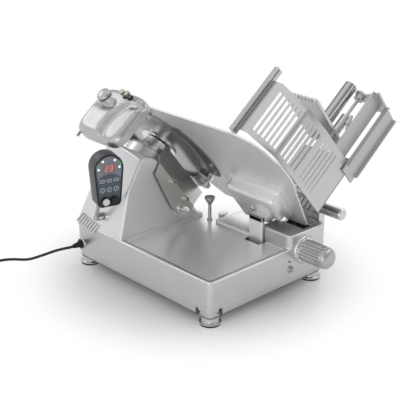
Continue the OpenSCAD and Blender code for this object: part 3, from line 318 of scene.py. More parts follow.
# by look: the two colours that a finish varies between, its roughness and what else differs;
# a glow has its own colour, the colour below it and its strength
feedLines = (0, feedTilt, 0)
finishRows = {
    satinLook: {
        # satinCast: its rounded rim edges get a painted highlight at 0.92
        "satinCast": (grey(0.58), grey(0.66), (0.26, 0.36), {"edge": 0.009, "worn": 0.92}),
        "humpCast": (grey(0.72), grey(0.79), (0.26, 0.36), {"bump": 0.015, "edge": 0.0, "metallic": 0.75}),
        "coverCast": (grey(0.88), grey(0.93), (0.26, 0.34), {"bump": 0.02, "edge": 0.002, "metallic": 0.58}),
        "sharpCast": (grey(0.47), grey(0.54), (0.32, 0.42), {"edge": 0.002, "metallic": 0.9}),
        "fineCast": (grey(0.62), grey(0.70), (0.24, 0.34), {"edge": 0.0018}),
        "plainCast": (grey(0.46), grey(0.54), (0.36, 0.48), {"edge": 0.0015}),
        "armSatin": (grey(0.54), grey(0.61), (0.42, 0.52), {"edge": 0.001, "metallic": 0.8}),
        "warmSheet": ((0.60, 0.585, 0.55), (0.64, 0.625, 0.59), (0.34, 0.42),
                      {"grain": 90.0, "bump": 0.0, "edge": 0.0, "metallic": 0.8}),
        "dullGrey": ((0.22, 0.22, 0.23), (0.3, 0.3, 0.31), (0.42, 0.55), {"edge": 0.001}),
    },
    brushedLook: {
        "deckSheet": (grey(0.86), grey(0.89), (0.22, 0.27), {"turn": (0, 0, 1.35), "lines": 900.0, "bump": 0.012,
                                                             "metallic": 0.62, "smear": 0.015}),
        "plateBrush": (grey(0.80), grey(0.86), (0.30, 0.38), {"turn": (0, 0, 0), "bump": 0.03, "metallic": 0.5}),
        "tableSheet": (grey(0.33), grey(0.38), (0.34, 0.42), {"turn": feedLines, "bump": 0.02}),
        "sheetBrush": (grey(0.55), grey(0.62), (0.28, 0.36), {"turn": feedLines}),
    },
    polishedLook: {
        "pinBrass": ((0.20, 0.19, 0.155), (0.26, 0.25, 0.205), (0.1, 0.18), {}),
        "neckTurned": ((0.80, 0.80, 0.805), (0.88, 0.88, 0.88), (0.24, 0.34), {}),
        "brightSteel": ((0.66, 0.66, 0.665), (0.76, 0.76, 0.76), (0.08, 0.18), {}),
        "mirrorTube": ((0.40, 0.40, 0.385), (0.48, 0.48, 0.465), (0.04, 0.1), {}),
    },
    groundLook: {
        "bladeGround": ((0.46, 0.46, 0.48), (0.56, 0.56, 0.58), (0.2, 0.32), {}),
        "guardGround": ((0.50, 0.50, 0.525), (0.60, 0.60, 0.62), (0.24, 0.34), {"rings": 500.0}),
    },
    mouldedLook: {
        "blackRubber": ((0.012, 0.012, 0.012), (0.022, 0.022, 0.023), (0.45, 0.6), {}),
        "darkCase": ((0.06, 0.062, 0.065), (0.08, 0.082, 0.085), (0.34, 0.44), {}),
        "rimBlack": ((0.008, 0.008, 0.009), (0.014, 0.014, 0.015), (0.2, 0.3), {"bump": 0.05}),
        "greyFilm": ((0.21, 0.215, 0.255), (0.25, 0.255, 0.295), (0.3, 0.38), {"bump": 0.05}),
        "blueFilm": ((0.075, 0.098, 0.125), (0.095, 0.12, 0.15), (0.3, 0.38), {"bump": 0.05}),
        "windowGlass": ((0.19, 0.17, 0.205), (0.22, 0.2, 0.235), (0.1, 0.16), {"bump": 0.01}),
        "keyPrint": ((0.6, 0.64, 0.7), (0.68, 0.72, 0.78), (0.3, 0.4), {"bump": 0.04}),
        "whiteGloss": ((0.76, 0.76, 0.75), (0.82, 0.82, 0.81), (0.2, 0.28), {"bump": 0.03}),
        "blackGloss": ((0.012, 0.012, 0.013), (0.02, 0.02, 0.021), (0.15, 0.22), {"bump": 0.03}),
        "darkInk": ((0.05, 0.05, 0.055), (0.08, 0.08, 0.085), (0.4, 0.5), {"bump": 0.02}),
        "gritStone": ((0.32, 0.24, 0.17), (0.46, 0.37, 0.28), (0.7, 0.9), {"grain": 2200.0, "bump": 0.5}),
    },
    glowLook: {
        "lampLens": ((0.95, 1.0, 0.97), (0.7, 0.72, 0.7), 0.55, {}),
        "redDigits": ((1.0, 0.16, 0.13), (0.02, 0.02, 0.02), 1.1, {}),
        "greenGlow": ((0.1, 0.75, 0.3), (0.02, 0.02, 0.02), 0.7, {}),
    },
}
finishes = {name: makeMaterial(name, look, *row, **more)
            for look, rows in finishRows.items() for name, (*row, more) in rows.items()}
print("finishes made,", len(finishes))

nodeFinish = {
    "satinCast": ["base_casting"],
    "humpCast": ["motor_housing"],
    "coverCast": ["gauge_bracket"],
    "sharpCast": ["sharpener_body", "sharpener_lid"],
    "fineCast": ["feet", "thickness_knob", "carriage_foot", "carriage_knob", "pusher_head"],
    "plainCast": ["sharpener_bracket", "hub_bearings", "motor", "blade_pulley", "deflector_post"],
    "plateBrush": ["gauge_plate"],
    "sheetBrush": ["guard_panel", "carriage_fence"],
    "tableSheet": ["food_table"],
    "pinBrass": ["sharpener_buttons"],
    "armSatin": ["carriage_arm"],
    "neckTurned": ["blade_neck"],
    "mirrorTube": ["lock_button", "panel_stem"],
    "warmSheet": ["slice_deflector"],
    "brightSteel": ["motor_shaft", "blade_hub", "blade_screws", "cover_tie_rod", "guard_knob", "deflector_rivets",
                    "deflector_nut", "strip_bolts", "cover_screw", "gauge_rod", "knob_shaft", "sharpener_knob",
                    "slide_rods", "pusher_rod"],
    "bladeGround": ["blade", "blade_cover"],
    "guardGround": ["ring_guard"],
    "dullGrey": ["bottom_cover", "gauge_edge_strip"],
    "blackRubber": ["foot_pads", "drive_belt", "cord_gland", "mains_plug", "mains_cord", "cord_coil"],
    "darkCase": ["panel_case"],
    "rimBlack": ["panel_screw"],
    "blueFilm": ["panel_fascia"],
    "windowGlass": ["display_window"],
    "lampLens": ["panel_lamps"],
    "keyPrint": ["panel_keys"],
    "whiteGloss": ["start_button", "pusher_wing"],
    "blackGloss": ["stop_button"],
    "gritStone": ["sharpener_stones"],
}
finishOf = {name: finish for finish, names in nodeFinish.items() for name in names}
slotOf = {entry["node"]: entry["material_slot"] for entry in frame["record"]["subparts"]}
bodyOf = {name: body for body, names in frame["record"]["behaviour"]["bodies"].items() for name in names}


def giveFinish(piece, name):
    piece.data.materials.clear()
    piece.data.materials.append(finishes[name])


for name, finish in finishOf.items():
    giveFinish(nodes[name], finish)
giveFinish(mainsLead, "blackRubber")


# makes an object of a bmesh; it stands for the nodes named, or rides as an extra piece
def addPiece(mesh, label, *finish, stands=(), body="frame", slot="cast_aluminium", place=Matrix(), smooth=38):
    bmesh.ops.transform(mesh, matrix=place, verts=mesh.verts)
    data = bpy.data.meshes.new(label)
    for name in finish:
        data.materials.append(finishes[name])
    mesh.to_mesh(data)
    mesh.free()
    if "custom_normal" in data.attributes:
        data.attributes.remove(data.attributes["custom_normal"])
    for polygon in data.polygons:
        polygon.use_smooth = True
    data.set_sharp_from_angle(angle=math.radians(smooth))
    piece = addObject(label, data)
    if stands:
        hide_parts(*stands)
        body, slot = bodyOf[stands[0]], slotOf[stands[0]]
    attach(piece, body)
    return piece


# smooth-shaded copy of a solid whose shape is right
def smoothCopy(name, *finish, choose=None):
    mesh = bmesh.new()
    mesh.from_mesh(nodes[name].data)
    bmesh.ops.remove_doubles(mesh, verts=mesh.verts, dist=1e-6)
    if choose:
        for face in mesh.faces:
            face.material_index = choose(face)
    piece = addPiece(mesh, name + "Smooth", *(finish or (finishOf[name],)), stands=(name,), smooth=32)
    piece.modifiers.new("evenNormals", "WEIGHTED_NORMAL").keep_sharp = True


# moves what one bmesh holds into another
def joinMesh(mesh, other, place=Matrix()):
    data = bpy.data.meshes.new("joined")
    other.to_mesh(data)
    other.free()
    data.transform(place)
    mesh.from_mesh(data)
    bpy.data.meshes.remove(data)


# box between two limits on each axis, in millimetres
def addBlock(mesh, *limits):
    x0, x1, y0, y1, z0, z1 = [v / 1000 for v in limits]
    middle = moved((x0 + x1) / 2, (y0 + y1) / 2, (z0 + z1) / 2)
    addBar(mesh, middle, (x1 - x0, y1 - y0, z1 - z0))


# box of a size in metres, placed by a matrix
def addBar(mesh, place, size):
    bmesh.ops.create_cube(mesh, size=1, matrix=place @ Matrix.Diagonal((*size, 1)))


# one face in local X and Z from arcs (x, z, radius, start, end) or corner points (x, z), in millimetres
def addOutline(mesh, runs, steps, y=0.0):
    loop = []
    for run in runs:
        if len(run) == 2:
            loop.append(mesh.verts.new((run[0] / 1000, y / 1000, run[1] / 1000)))
            continue
        x, z, r, start, end = run
        first = mesh.verts.new(((x + r * math.cos(math.radians(start))) / 1000, y / 1000,
                                (z + r * math.sin(math.radians(start))) / 1000))
        bmesh.ops.spin(mesh, geom=[first], cent=(x / 1000, y / 1000, z / 1000), axis=(0, -1, 0),
                       angle=math.radians(end - start), steps=steps)
        while first is not None:
            loop.append(first)
            others = [edge.other_vert(first) for edge in first.link_edges]
            first = next((vert for vert in others if vert not in loop), None)
    return mesh.faces.new(loop)


def pushFace(mesh, face, move):
    made = bmesh.ops.extrude_face_region(mesh, geom=[face])["geom"]
    bmesh.ops.translate(mesh, verts=[part for part in made if isinstance(part, bmesh.types.BMVert)], vec=move)


def closeMesh(mesh):
    bmesh.ops.remove_doubles(mesh, verts=mesh.verts, dist=1e-6)
    bmesh.ops.recalc_face_normals(mesh, faces=mesh.faces)


# turned form about the local Z axis from (radius, height) points in millimetres
def addTurned(mesh, profile, steps):
    verts = [mesh.verts.new((r / 1000, 0, h / 1000)) for r, h in profile]
    edges = [mesh.edges.new(pair) for pair in zip(verts, verts[1:])]
    bmesh.ops.spin(mesh, geom=verts + edges, cent=(0, 0, 0), axis=(0, 0, 1), angle=2 * math.pi, steps=steps,
                   use_merge=True)
    closeMesh(mesh)


def makeTurned(label, finish, profile, place, steps=32, **more):
    mesh = bmesh.new()
    addTurned(mesh, profile, steps)
    addPiece(mesh, label, finish, place=place, **more)


def roundEdges(mesh, edges, width, segments):
    bmesh.ops.bevel(mesh, geom=edges, offset=width, offset_type="OFFSET", segments=segments, profile=0.5,
                    affect="EDGES", clamp_overlap=True, material=-1)


def sharpEdges(mesh, angle):
    return [edge for edge in mesh.edges if len(edge.link_faces) == 2 and edge.calc_face_angle() > math.radians(angle)]


roundNodes = ["feet", "carriage_knob", "ring_guard", "deflector_post", "guard_knob", "sharpener_buttons", "blade_neck",
              "blade", "blade_cover", "gauge_plate", "panel_stem", "pusher_rod", "slide_rods", "guard_panel",
              "food_table", "carriage_arm", "carriage_fence", "start_button", "stop_button", "lock_button",
              "panel_screw", "panel_lamps", "deflector_nut", "deflector_rivets", "slice_deflector", "cord_gland",
              "carriage_foot", "foot_pads"]
for name in roundNodes:
    smoothCopy(name)

# the handle tube of the pusher is polished, and the deck inside the base's rim is brushed
tubeSettings = {"across": -0.424, "up": -0.063, "radius": 0.0195, "start": 0.2285}
deckSettings = {"low": 0.12, "high": 0.1225, "level": 0.9}


def onTube(face):
    local = feedFrame.inverted() @ face.calc_center_median()
    apart = math.hypot(local.y - tubeSettings["across"], local.z - tubeSettings["up"])
    return int(apart < tubeSettings["radius"] and local.x > tubeSettings["start"])


def onDeck(face):
    height = face.calc_center_median().z
    return int(face.normal.z > deckSettings["level"] and deckSettings["low"] < height < deckSettings["high"])


smoothCopy("pusher_head", "fineCast", "mirrorTube", choose=onTube)
smoothCopy("base_casting", "satinCast", "deckSheet", choose=onDeck)
print("smooth copies made,", len(roundNodes) + 2)

# motor housing: cast hump with a wide rounded front edge that runs into the round neck, and a slanted back left corner
housingSettings = {"front": 332, "back": 534, "topX": 71.6, "topZ": 292, "radius": 60, "arc": (38, 167.37),
                   "footLeft": -26, "footRight": 273.5, "rim": 131, "sunk": 13, "seam": 0.132, "edge": 0.032,
                   "rearY": 0.392, "backEdge": 0.010, "corner": (-0.026, 0.529, 0.131),
                   "slant": (12730, -3259, -7410), "neck": 72, "neckBack": -150, "neckFace": -55, "neckRound": 5,
                   "voxel": 0.0028, "blend": 0.5, "passes": 14}


def makeHousing(s):
    mesh = bmesh.new()
    sole, top = s["rim"] - s["sunk"], (s["topX"], s["topZ"], s["radius"], *s["arc"])
    face = addOutline(mesh, [(s["footRight"], sole), (s["footRight"], s["rim"]), top, (s["footLeft"], s["rim"]),
                             (s["footLeft"], sole)], y=s["front"], steps=28)
    pushFace(mesh, face, (0, (s["back"] - s["front"]) / 1000, 0))
    closeMesh(mesh)
    cut = bmesh.ops.bisect_plane(mesh, geom=mesh.verts[:] + mesh.edges[:] + mesh.faces[:], plane_co=s["corner"],
                                 plane_no=Vector(s["slant"]).normalized(), clear_inner=True)
    bmesh.ops.holes_fill(mesh, edges=[part for part in cut["geom_cut"] if isinstance(part, bmesh.types.BMEdge)])
    closeMesh(mesh)
    frontY = s["front"] / 1000
    outline = [edge for edge in mesh.edges if all(abs(v.co.y - frontY) < 1e-5 for v in edge.verts)
               and max(v.co.z for v in edge.verts) > s["seam"]]
    roundEdges(mesh, outline, s["edge"], segments=7)
    rear = [edge for edge in sharpEdges(mesh, 20) if max(v.co.z for v in edge.verts) > s["seam"]
            and min(v.co.y for v in edge.verts) > s["rearY"]]
    roundEdges(mesh, rear, s["backEdge"], segments=3)
    neck = bmesh.new()
    f, r, e = s["neckFace"], s["neck"], s["neckRound"]
    addTurned(neck, [(0, s["neckBack"]), (r, s["neckBack"]), (r, f - e), (r - 0.3 * e, f - 0.3 * e), (r - e, f),
                     (0, f)], steps=72)
    joinMesh(mesh, neck, feedFrame @ spun(90, "Y"))
    piece = addPiece(mesh, "castHousing", "humpCast", stands=("motor_housing",))
    voxels = piece.modifiers.new("onePiece", "REMESH")
    voxels.mode = "VOXEL"
    voxels.voxel_size = s["voxel"]
    voxels.use_smooth_shade = True
    blend = piece.modifiers.new("castBlend", "SMOOTH")
    blend.factor = s["blend"]
    blend.iterations = s["passes"]


makeHousing(housingSettings)

# raised ribs of the vent on the left wall, in a row that climbs to the back
ventSettings = {"count": 8, "size": (0.010, 0.0058, 0.036), "first": (-26, 441, 133), "step": (11.1, 1.9),
                "wall": 77.37, "foot": 131, "lean": 37, "edge": 0.0018}


def makeVents(s):
    mesh = bmesh.new()
    for i in range(s["count"]):
        y, z = s["first"][1] + i * s["step"][0], s["first"][2] + i * s["step"][1]
        x = s["first"][0] + (z - s["foot"]) / math.tan(math.radians(s["wall"]))
        spot = moved(x / 1000, y / 1000, z / 1000)
        addBar(mesh, spot @ spun(90 - s["wall"], "Y") @ spun(s["lean"], "X"), s["size"])
    roundEdges(mesh, mesh.edges[:], s["edge"], segments=3)
    addPiece(mesh, "ventRibs", "fineCast")


makeVents(ventSettings)
print("housing made")

# sharpener: cast shell with a crowned lid, a bowl for the clamp and a scooped channel beside the front lobe
sharpenerSettings = {"n": (-180, -22), "y": (-168, 14), "low": 238, "top": 275, "fillet": 17, "corner": 5.0, "cuts": 44,
                     "spread": 0.92, "channel": [(-40, -176), (-52, -156), (-60, -140), (-60, -121), (-75, -106),
                                                 (-107, -98), (-137, -95), (-160, -101), (-186, -112)],
                     "channelDeep": 8, "channelWide": 10, "lidRise": 5.5, "lidAcross": (-98, -84),
                     "lidAlong": (78, 104), "lidInside": (2, 22), "lobeDrop": 3, "lobeAcross": (104, 118),
                     "lobeAlong": (62, 80), "bowl": (-76, -50, 22, 15), "bowlLong": 0.85, "bowlSteep": 1.2,
                     "smoothFrom": 0.24}


def pathDistance(x, y, path):
    best = 1e9
    for (ax, ay), (bx, by) in zip(path, path[1:]):
        dx, dy = bx - ax, by - ay
        t = max(0.0, min(1.0, ((x - ax) * dx + (y - ay) * dy) / (dx * dx + dy * dy)))
        best = min(best, math.hypot(x - ax - t * dx, y - ay - t * dy))
    return best


def easeStep(value, start, end):
    t = max(0.0, min(1.0, (value - start) / (end - start)))
    return t * t * (3 - 2 * t)


# height of the shell's top at a spot that lies a distance inside its outline
def shellTop(s, n, across, inside):
    top = s["top"] - s["fillet"] + math.sqrt(max(0.0, s["fillet"] ** 2 - max(0.0, s["fillet"] - inside) ** 2))
    top -= s["channelDeep"] * math.exp(-(pathDistance(n, across, s["channel"]) / s["channelWide"]) ** 2)
    lid = easeStep(across, *s["lidAcross"]) * easeStep(-n, *s["lidAlong"]) * easeStep(inside, *s["lidInside"])
    top += s["lidRise"] * lid
    top -= s["lobeDrop"] * easeStep(-across, *s["lobeAcross"]) * easeStep(-n, *s["lobeAlong"])
    bowlN, bowlY, radius, deep = s["bowl"]
    bowl = max(0.0, 1 - (math.hypot(n - bowlN, (across - bowlY) * s["bowlLong"]) / radius) ** 2)
    return top - deep * bowl ** s["bowlSteep"]


def makeSharpener(s):
    mesh = bmesh.new()
    bmesh.ops.create_cube(mesh, size=2)
    bmesh.ops.subdivide_edges(mesh, edges=mesh.edges[:], cuts=s["cuts"], use_grid_fill=True)
    halfN, halfY = (s["n"][1] - s["n"][0]) / 2, (s["y"][1] - s["y"][0]) / 2
    midN, midY = (s["n"][1] + s["n"][0]) / 2, (s["y"][1] + s["y"][0]) / 2
    for vert in mesh.verts:
        x, y, z = vert.co
        level = max(abs(x), abs(y))
        if level > 0:
            sx, sy = x / level, y / level
            out = (abs(sx) ** s["corner"] + abs(sy) ** s["corner"]) ** (-1 / s["corner"])
            spread = math.sin(level * math.pi / 2) ** s["spread"]
            n, across = midN + sx * out * spread * halfN, midY + sy * out * spread * halfY
            inside = (1 - spread) * min(halfN, halfY)
        else:
            n, across, inside = midN, midY, halfN
        height = s["low"] + (shellTop(s, n, across, inside) - s["low"]) * (z + 1) / 2
        vert.co = Vector((n, across, height)) / 1000
    bmesh.ops.smooth_vert(mesh, verts=[v for v in mesh.verts if v.co.z > s["smoothFrom"]], factor=0.5,
                          use_axis_x=True, use_axis_y=True, use_axis_z=True)
    bmesh.ops.recalc_face_normals(mesh, faces=mesh.faces)
    piece = addPiece(mesh, "sharpenerShell", "sharpCast", stands=("sharpener_body", "sharpener_lid"), place=feedFrame,
                     smooth=60)
    finer = piece.modifiers.new("finer", "SUBSURF")
    finer.levels = finer.render_levels = 1


makeSharpener(sharpenerSettings)

# turned knob and small fittings of the sharpener
clampSettings = {"profile": [(0, 248), (5, 248), (5, 275.4), (17, 275.6), (20, 277.5), (20, 280.5), (18.5, 283.5),
                             (14, 286.6), (8, 288), (0, 288.4)],
                 "place": feedFrame @ moved(-0.057, -0.012, 0), "steps": 48, "stands": ("sharpener_knob",)}
hingeSettings = {"profile": [(0, 0), (4.5, 0), (4.5, 15), (3.6, 16.5), (0, 16.5)], "steps": 24,
                 "place": feedFrame @ moved(-0.150, 0, 0.252) @ spun(-90, "Y") @ moved(0, 0, 0.022),
                 "slot": "polished_steel"}
collarSettings = {"profile": [(5.4, 268), (8.5, 268), (8.5, 276), (7.5, 277.5), (5.4, 277.5)],
                  "places": [(-0.040, -0.088, 0), (-0.040, -0.109, 0)]}
blockSettings = {"n": (-46, -24), "y": (-132, -104), "u": (212, 242), "ribs": 4, "rib": (0.1, 0.6), "back": 4,
                 "ribDeep": 6, "edge": 0.0012}


def makeCollars(s):
    mesh = bmesh.new()
    for spot in s["places"]:
        ring = bmesh.new()
        addTurned(ring, s["profile"], steps=24)
        joinMesh(mesh, ring, moved(*spot))
    addPiece(mesh, "pinCollars", "blackRubber", slot="rubber", place=feedFrame)


def makeRibbedBlock(s):
    mesh = bmesh.new()
    (n0, n1), (u0, u1) = s["n"], s["u"]
    addBlock(mesh, n0 + s["back"], n1, *s["y"], u0, u1)
    step = (u1 - u0) / s["ribs"]
    for i in range(s["ribs"]):
        addBlock(mesh, n0, n0 + s["ribDeep"], *s["y"], u0 + (i + s["rib"][0]) * step, u0 + (i + s["rib"][1]) * step)
    roundEdges(mesh, mesh.edges[:], s["edge"], segments=2)
    addPiece(mesh, "ribbedBlock", "plainCast", place=feedFrame)


makeTurned("clampKnob", "sharpCast", **clampSettings)
makeCollars(collarSettings)
makeTurned("hingePin", "mirrorTube", **hingeSettings)
makeRibbedBlock(blockSettings)
print("sharpener made")

# gauge cover: pressed cover with wide rounded edges on a thin flange, and the arm below it
coverSettings = {"outline": [(-264, -54), (-446, -54), (-432, -154), (-376, -154), (-370, -196), (-300, -200),
                             (-262, -200)],
                 "flange": [(-256, -46), (-455, -46), (-439, -162), (-383, -162), (-377, -203.6), (-300, -208),
                            (-254, -208)],
                 "back": -5, "face": -45, "flangeFace": -14, "edge": 0.013, "flangeEdge": 0.003,
                 "arm": [(266, 278, 73, 123, 84, 195), (266, 312, 73, 123, 180, 195)], "armEdge": 0.0025}


# plate from corner points (across, up) between two distances along the feed, in millimetres, with a rounded front
def makePlate(points, back, face, width, segments):
    mesh = bmesh.new()
    loop = mesh.faces.new([mesh.verts.new((back / 1000, across / 1000, up / 1000)) for across, up in points])
    pushFace(mesh, loop, ((face - back) / 1000, 0, 0))
    closeMesh(mesh)
    front = [edge for edge in sharpEdges(mesh, 10) if min(v.co.x for v in edge.verts) < (back - 1) / 1000]
    roundEdges(mesh, front, width, segments)
    return mesh


def makeGaugeCover(s):
    mesh, arm = bmesh.new(), bmesh.new()
    joinMesh(mesh, makePlate(s["outline"], s["back"], s["face"], s["edge"], segments=5), feedFrame)
    joinMesh(mesh, makePlate(s["flange"], s["back"], s["flangeFace"], s["flangeEdge"], segments=3), feedFrame)
    for box in s["arm"]:
        addBlock(arm, *box)
    roundEdges(arm, arm.edges[:], s["armEdge"], segments=3)
    joinMesh(mesh, arm)
    addPiece(mesh, "gaugeCover", "coverCast", stands=("gauge_bracket",))


makeGaugeCover(coverSettings)
print("gauge cover made")

# control panel: moulded case with a glossy rim, a film, digits, marks and lamps
panelSettings = {"low": (20, -61, 14), "top": (33, 42), "side": -4.93, "depth": 50, "backEdge": 0.008, "rim": 5,
                 "rimEdge": 1.6, "rimDeep": 0.0012, "recess": 0.004}
filmSettings = {"arcZ": 21, "arcEnd": (33.2, 4), "gap": 1, "y": 0.6, "thick": 0.0004}


def middleY(face):
    return face.calc_center_median().y


def makePanelCase(s):
    mesh = bmesh.new()
    (x, z, r), (topZ, topR), side = s["low"], s["top"], s["side"]
    egg = [(x, z, r, -90, side), (0, topZ, topR, side, 180 - side), (-x, z, r, 180 - side, 270)]
    pushFace(mesh, addOutline(mesh, egg, steps=16), (0, s["depth"] / 1000, 0))
    closeMesh(mesh)
    backY = s["depth"] / 1000 - 1e-5
    back = [edge for edge in mesh.edges if all(v.co.y > backY for v in edge.verts)]
    roundEdges(mesh, back, s["backEdge"], segments=5)
    front = min(mesh.faces, key=middleY)
    roundEdges(mesh, front.edges[:], s["rimEdge"] / 1000, segments=3)
    front = min((face for face in mesh.faces if len(face.verts) > 12), key=middleY)
    bmesh.ops.inset_region(mesh, faces=[front], thickness=(s["rim"] - s["rimEdge"]) / 1000, use_even_offset=True)
    for face in mesh.faces:
        face.material_index = int(middleY(face) < s["rimDeep"])
    pushFace(mesh, front, (0, s["recess"], 0))
    bmesh.ops.delete(mesh, geom=[front], context="FACES_ONLY")
    bmesh.ops.recalc_face_normals(mesh, faces=mesh.faces)
    addPiece(mesh, "panelCase", "darkCase", "rimBlack", stands=("panel_case",), place=panelFrame, smooth=30)


def makePanelFilm(s, case):
    mesh = bmesh.new()
    x, z = s["arcEnd"]
    drop = s["arcZ"] - z
    r = (x * x + drop * drop) / (2 * drop)
    a = math.degrees(math.atan2(z - s["arcZ"] + r, x))
    (topZ, topR), side = case["top"], case["side"]
    face = addOutline(mesh, [(0, topZ, topR - case["rim"] - s["gap"], side, 180 - side),
                             (0, s["arcZ"] - r, r, 180 - a, a)], y=s["y"], steps=24)
    pushFace(mesh, face, (0, s["thick"], 0))
    bmesh.ops.recalc_face_normals(mesh, faces=mesh.faces)
    addPiece(mesh, "upperFilm", "greyFilm", slot="fascia", place=panelFrame)


makePanelCase(panelSettings)
makePanelFilm(filmSettings, panelSettings)

# display with two leaning digits made of bars, and a short glow at either side of it
displaySettings = {"window": (-16.5, 16.5, 0.4, 0.8, 25.5, 47.5), "windowCorner": 0.002, "digit": (9, 15.5, 2.2),
                   "digits": {-11.5: "abged", 1.5: "abgcd"}, "digitY": (0.1, 0.5), "digitZ": 28.3, "shift": -0.0035,
                   "shear": 0.1, "glow": (0.0335, 0.0004, 0.046), "glowTurn": -24, "glowSize": (0.0022, 0.0006, 0.012),
                   "glowEdge": 0.0002}


def makeDisplay(s):
    window = bmesh.new()
    addBlock(window, *s["window"])
    corners = [edge for edge in window.edges if abs(edge.verts[0].co.y - edge.verts[1].co.y) > 1e-5]
    roundEdges(window, corners, s["windowCorner"], segments=3)
    addPiece(window, "displayGlass", "windowGlass", stands=("display_window",), place=panelFrame)
    mesh = bmesh.new()
    w, h, t = s["digit"]
    bars = {"a": (0, w, h - t, h), "g": (0, w, (h - t) / 2, (h + t) / 2), "d": (0, w, 0, t),
            "b": (w - t, w, h / 2, h), "e": (0, t, 0, h / 2), "c": (w - t, w, 0, h / 2)}
    for x, lit in s["digits"].items():
        for key in lit:
            x0, x1, z0, z1 = bars[key]
            addBlock(mesh, x + x0, x + x1, *s["digitY"], s["digitZ"] + z0, s["digitZ"] + z1)
    lean = Matrix()
    lean[0][2] = s["shear"]
    addPiece(mesh, "displayDigits", "redDigits", slot="display", place=panelFrame @ moved(s["shift"], 0, 0) @ lean)
    glow = bmesh.new()
    x, y, z = s["glow"]
    for side in (-1, 1):
        addBar(glow, moved(side * x, y, z) @ spun(side * s["glowTurn"], "Y"), s["glowSize"])
    roundEdges(glow, glow.edges[:], s["glowEdge"], segments=2)
    addPiece(glow, "sideGlow", "greenGlow", slot="lamp", place=panelFrame)


makeDisplay(displaySettings)

# thin printed marks of the six keys: a row of long rings with a bar in them, and a row of open rings with a hand
keySettings = {"rows": (1, -25), "step": 20, "line": 1.5, "y": 0.5, "thick": 0.3, "long": (3.6, 4.4), "radius": 7.2,
               "open": (20, 330), "turn": 40, "hand": 0.55, "hands": (2.2, 3.0)}


def makeKeyMarks(s):
    mesh = bmesh.new()
    half, end = s["long"]
    for row, z in enumerate(s["rows"]):
        for k in (-1, 0, 1):
            x = k * s["step"]
            if row:
                start, stop = [angle + s["turn"] * k for angle in s["open"]]
                face = addOutline(mesh, [(x, z, s["radius"], start, stop)], y=s["y"], steps=24)
            else:
                face = addOutline(mesh, [(x - half, z, end, 90, 270), (x + half, z, end, -90, 90)], y=s["y"], steps=10)
            face.normal_update()
            bmesh.ops.inset_region(mesh, faces=[face], thickness=s["line"] / 1000, use_even_offset=True,
                                   use_boundary=True)
            bmesh.ops.delete(mesh, geom=[face], context="FACES")
            length = s["hands"][row]
            addBlock(mesh, x - s["hand"], x + s["hand"], s["y"], s["y"] + s["thick"], z - length, z + length)
    addPiece(mesh, "keyMarks", "keyPrint", stands=("panel_keys",), place=panelFrame)


makeKeyMarks(keySettings)
print("control panel made")

# thickness knob: scale disc, deep flutes and a domed end
knobSettings = {"x": 0.328, "y": -0.026, "z": 0.117, "flutes": 18, "deep": 3.6, "from": 12.5, "to": 80.5, "ease": 4,
                "round": 1.4, "core": 0.03, "disc": 10.2,
                "profile": [(0, 100), (8, 99.7), (17, 98.4), (24, 95.6), (28, 91.5), (29.5, 87), (29.5, 82.5),
                            (30.8, 81.5), (31, 80), (31, 76), (31, 60), (31, 40), (31, 20), (31, 15), (31, 13),
                            (31, 10.1), (36, 10), (39.6, 6.2), (40, 5.6), (40, 0.9), (39.5, 0.4), (8, 0.4), (8, 40),
                            (0, 40)]}


def makeKnob(s):
    mesh = bmesh.new()
    addTurned(mesh, s["profile"], steps=144)
    for vert in mesh.verts:
        x, y, h = vert.co
        r = math.hypot(x, y)
        if r > s["core"] and s["from"] < h * 1000 < s["to"]:
            groove = (0.5 - 0.5 * math.cos(s["flutes"] * math.atan2(y, x))) ** s["round"]
            end = min(1.0, (h * 1000 - s["from"]) / s["ease"], (s["to"] - h * 1000) / s["ease"])
            vert.co = Vector((x, y, h)) - Vector((x, y, 0)) / r * s["deep"] / 1000 * groove * end
    for face in mesh.faces:
        face.material_index = int(face.calc_center_median().z * 1000 < s["disc"])
    addPiece(mesh, "scaleKnob", "sharpCast", "coverCast", stands=("thickness_knob",),
             place=moved(s["x"], s["y"], s["z"]) @ spun(90, "X"), smooth=50)


makeKnob(knobSettings)

# dial marks round the thickness knob: lines on the disc's slanted rim, and numbers on its face
dialSettings = {"ticks": 40, "tick": (0.0019, 0.0009, 0.0034), "longTick": (0.0019, 0.0009, 0.0050), "longEvery": 4,
                "tickY": -0.0341, "tickRadius": 0.0378, "tickTilt": -46.5, "numbers": 12, "numberY": -0.0363,
                "numberRadius": 0.0335, "numberSize": 0.0068, "numberThick": 0.0002}


def makeDial(s, knob):
    mesh = bmesh.new()
    middle = moved(knob["x"], 0, knob["z"])
    for i in range(s["ticks"]):
        turn = spun(360 * i / s["ticks"], "Y")
        addBar(mesh, middle @ turn @ moved(0, s["tickY"], s["tickRadius"]) @ spun(s["tickTilt"], "X"),
               s["tick"] if i % s["longEvery"] else s["longTick"])
    for i in range(s["numbers"]):
        words = bpy.data.curves.new("dialNumber", "FONT")
        words.body = str(i)
        words.size = s["numberSize"]
        words.align_x = words.align_y = "CENTER"
        words.extrude = s["numberThick"]
        holder = addObject("dialNumber", words)
        bpy.context.view_layer.update()
        number = bpy.data.meshes.new_from_object(holder.evaluated_get(bpy.context.evaluated_depsgraph_get()))
        turn = spun(360 * i / s["numbers"], "Y")
        number.transform(middle @ turn @ moved(0, s["numberY"], s["numberRadius"]) @ spun(90, "X"))
        mesh.from_mesh(number)
        bpy.data.objects.remove(holder)
        bpy.data.meshes.remove(number)
        bpy.data.curves.remove(words)
    addPiece(mesh, "dialMarks", "darkInk", body="knob", slot="black_plastic")


makeDial(dialSettings, knobSettings)

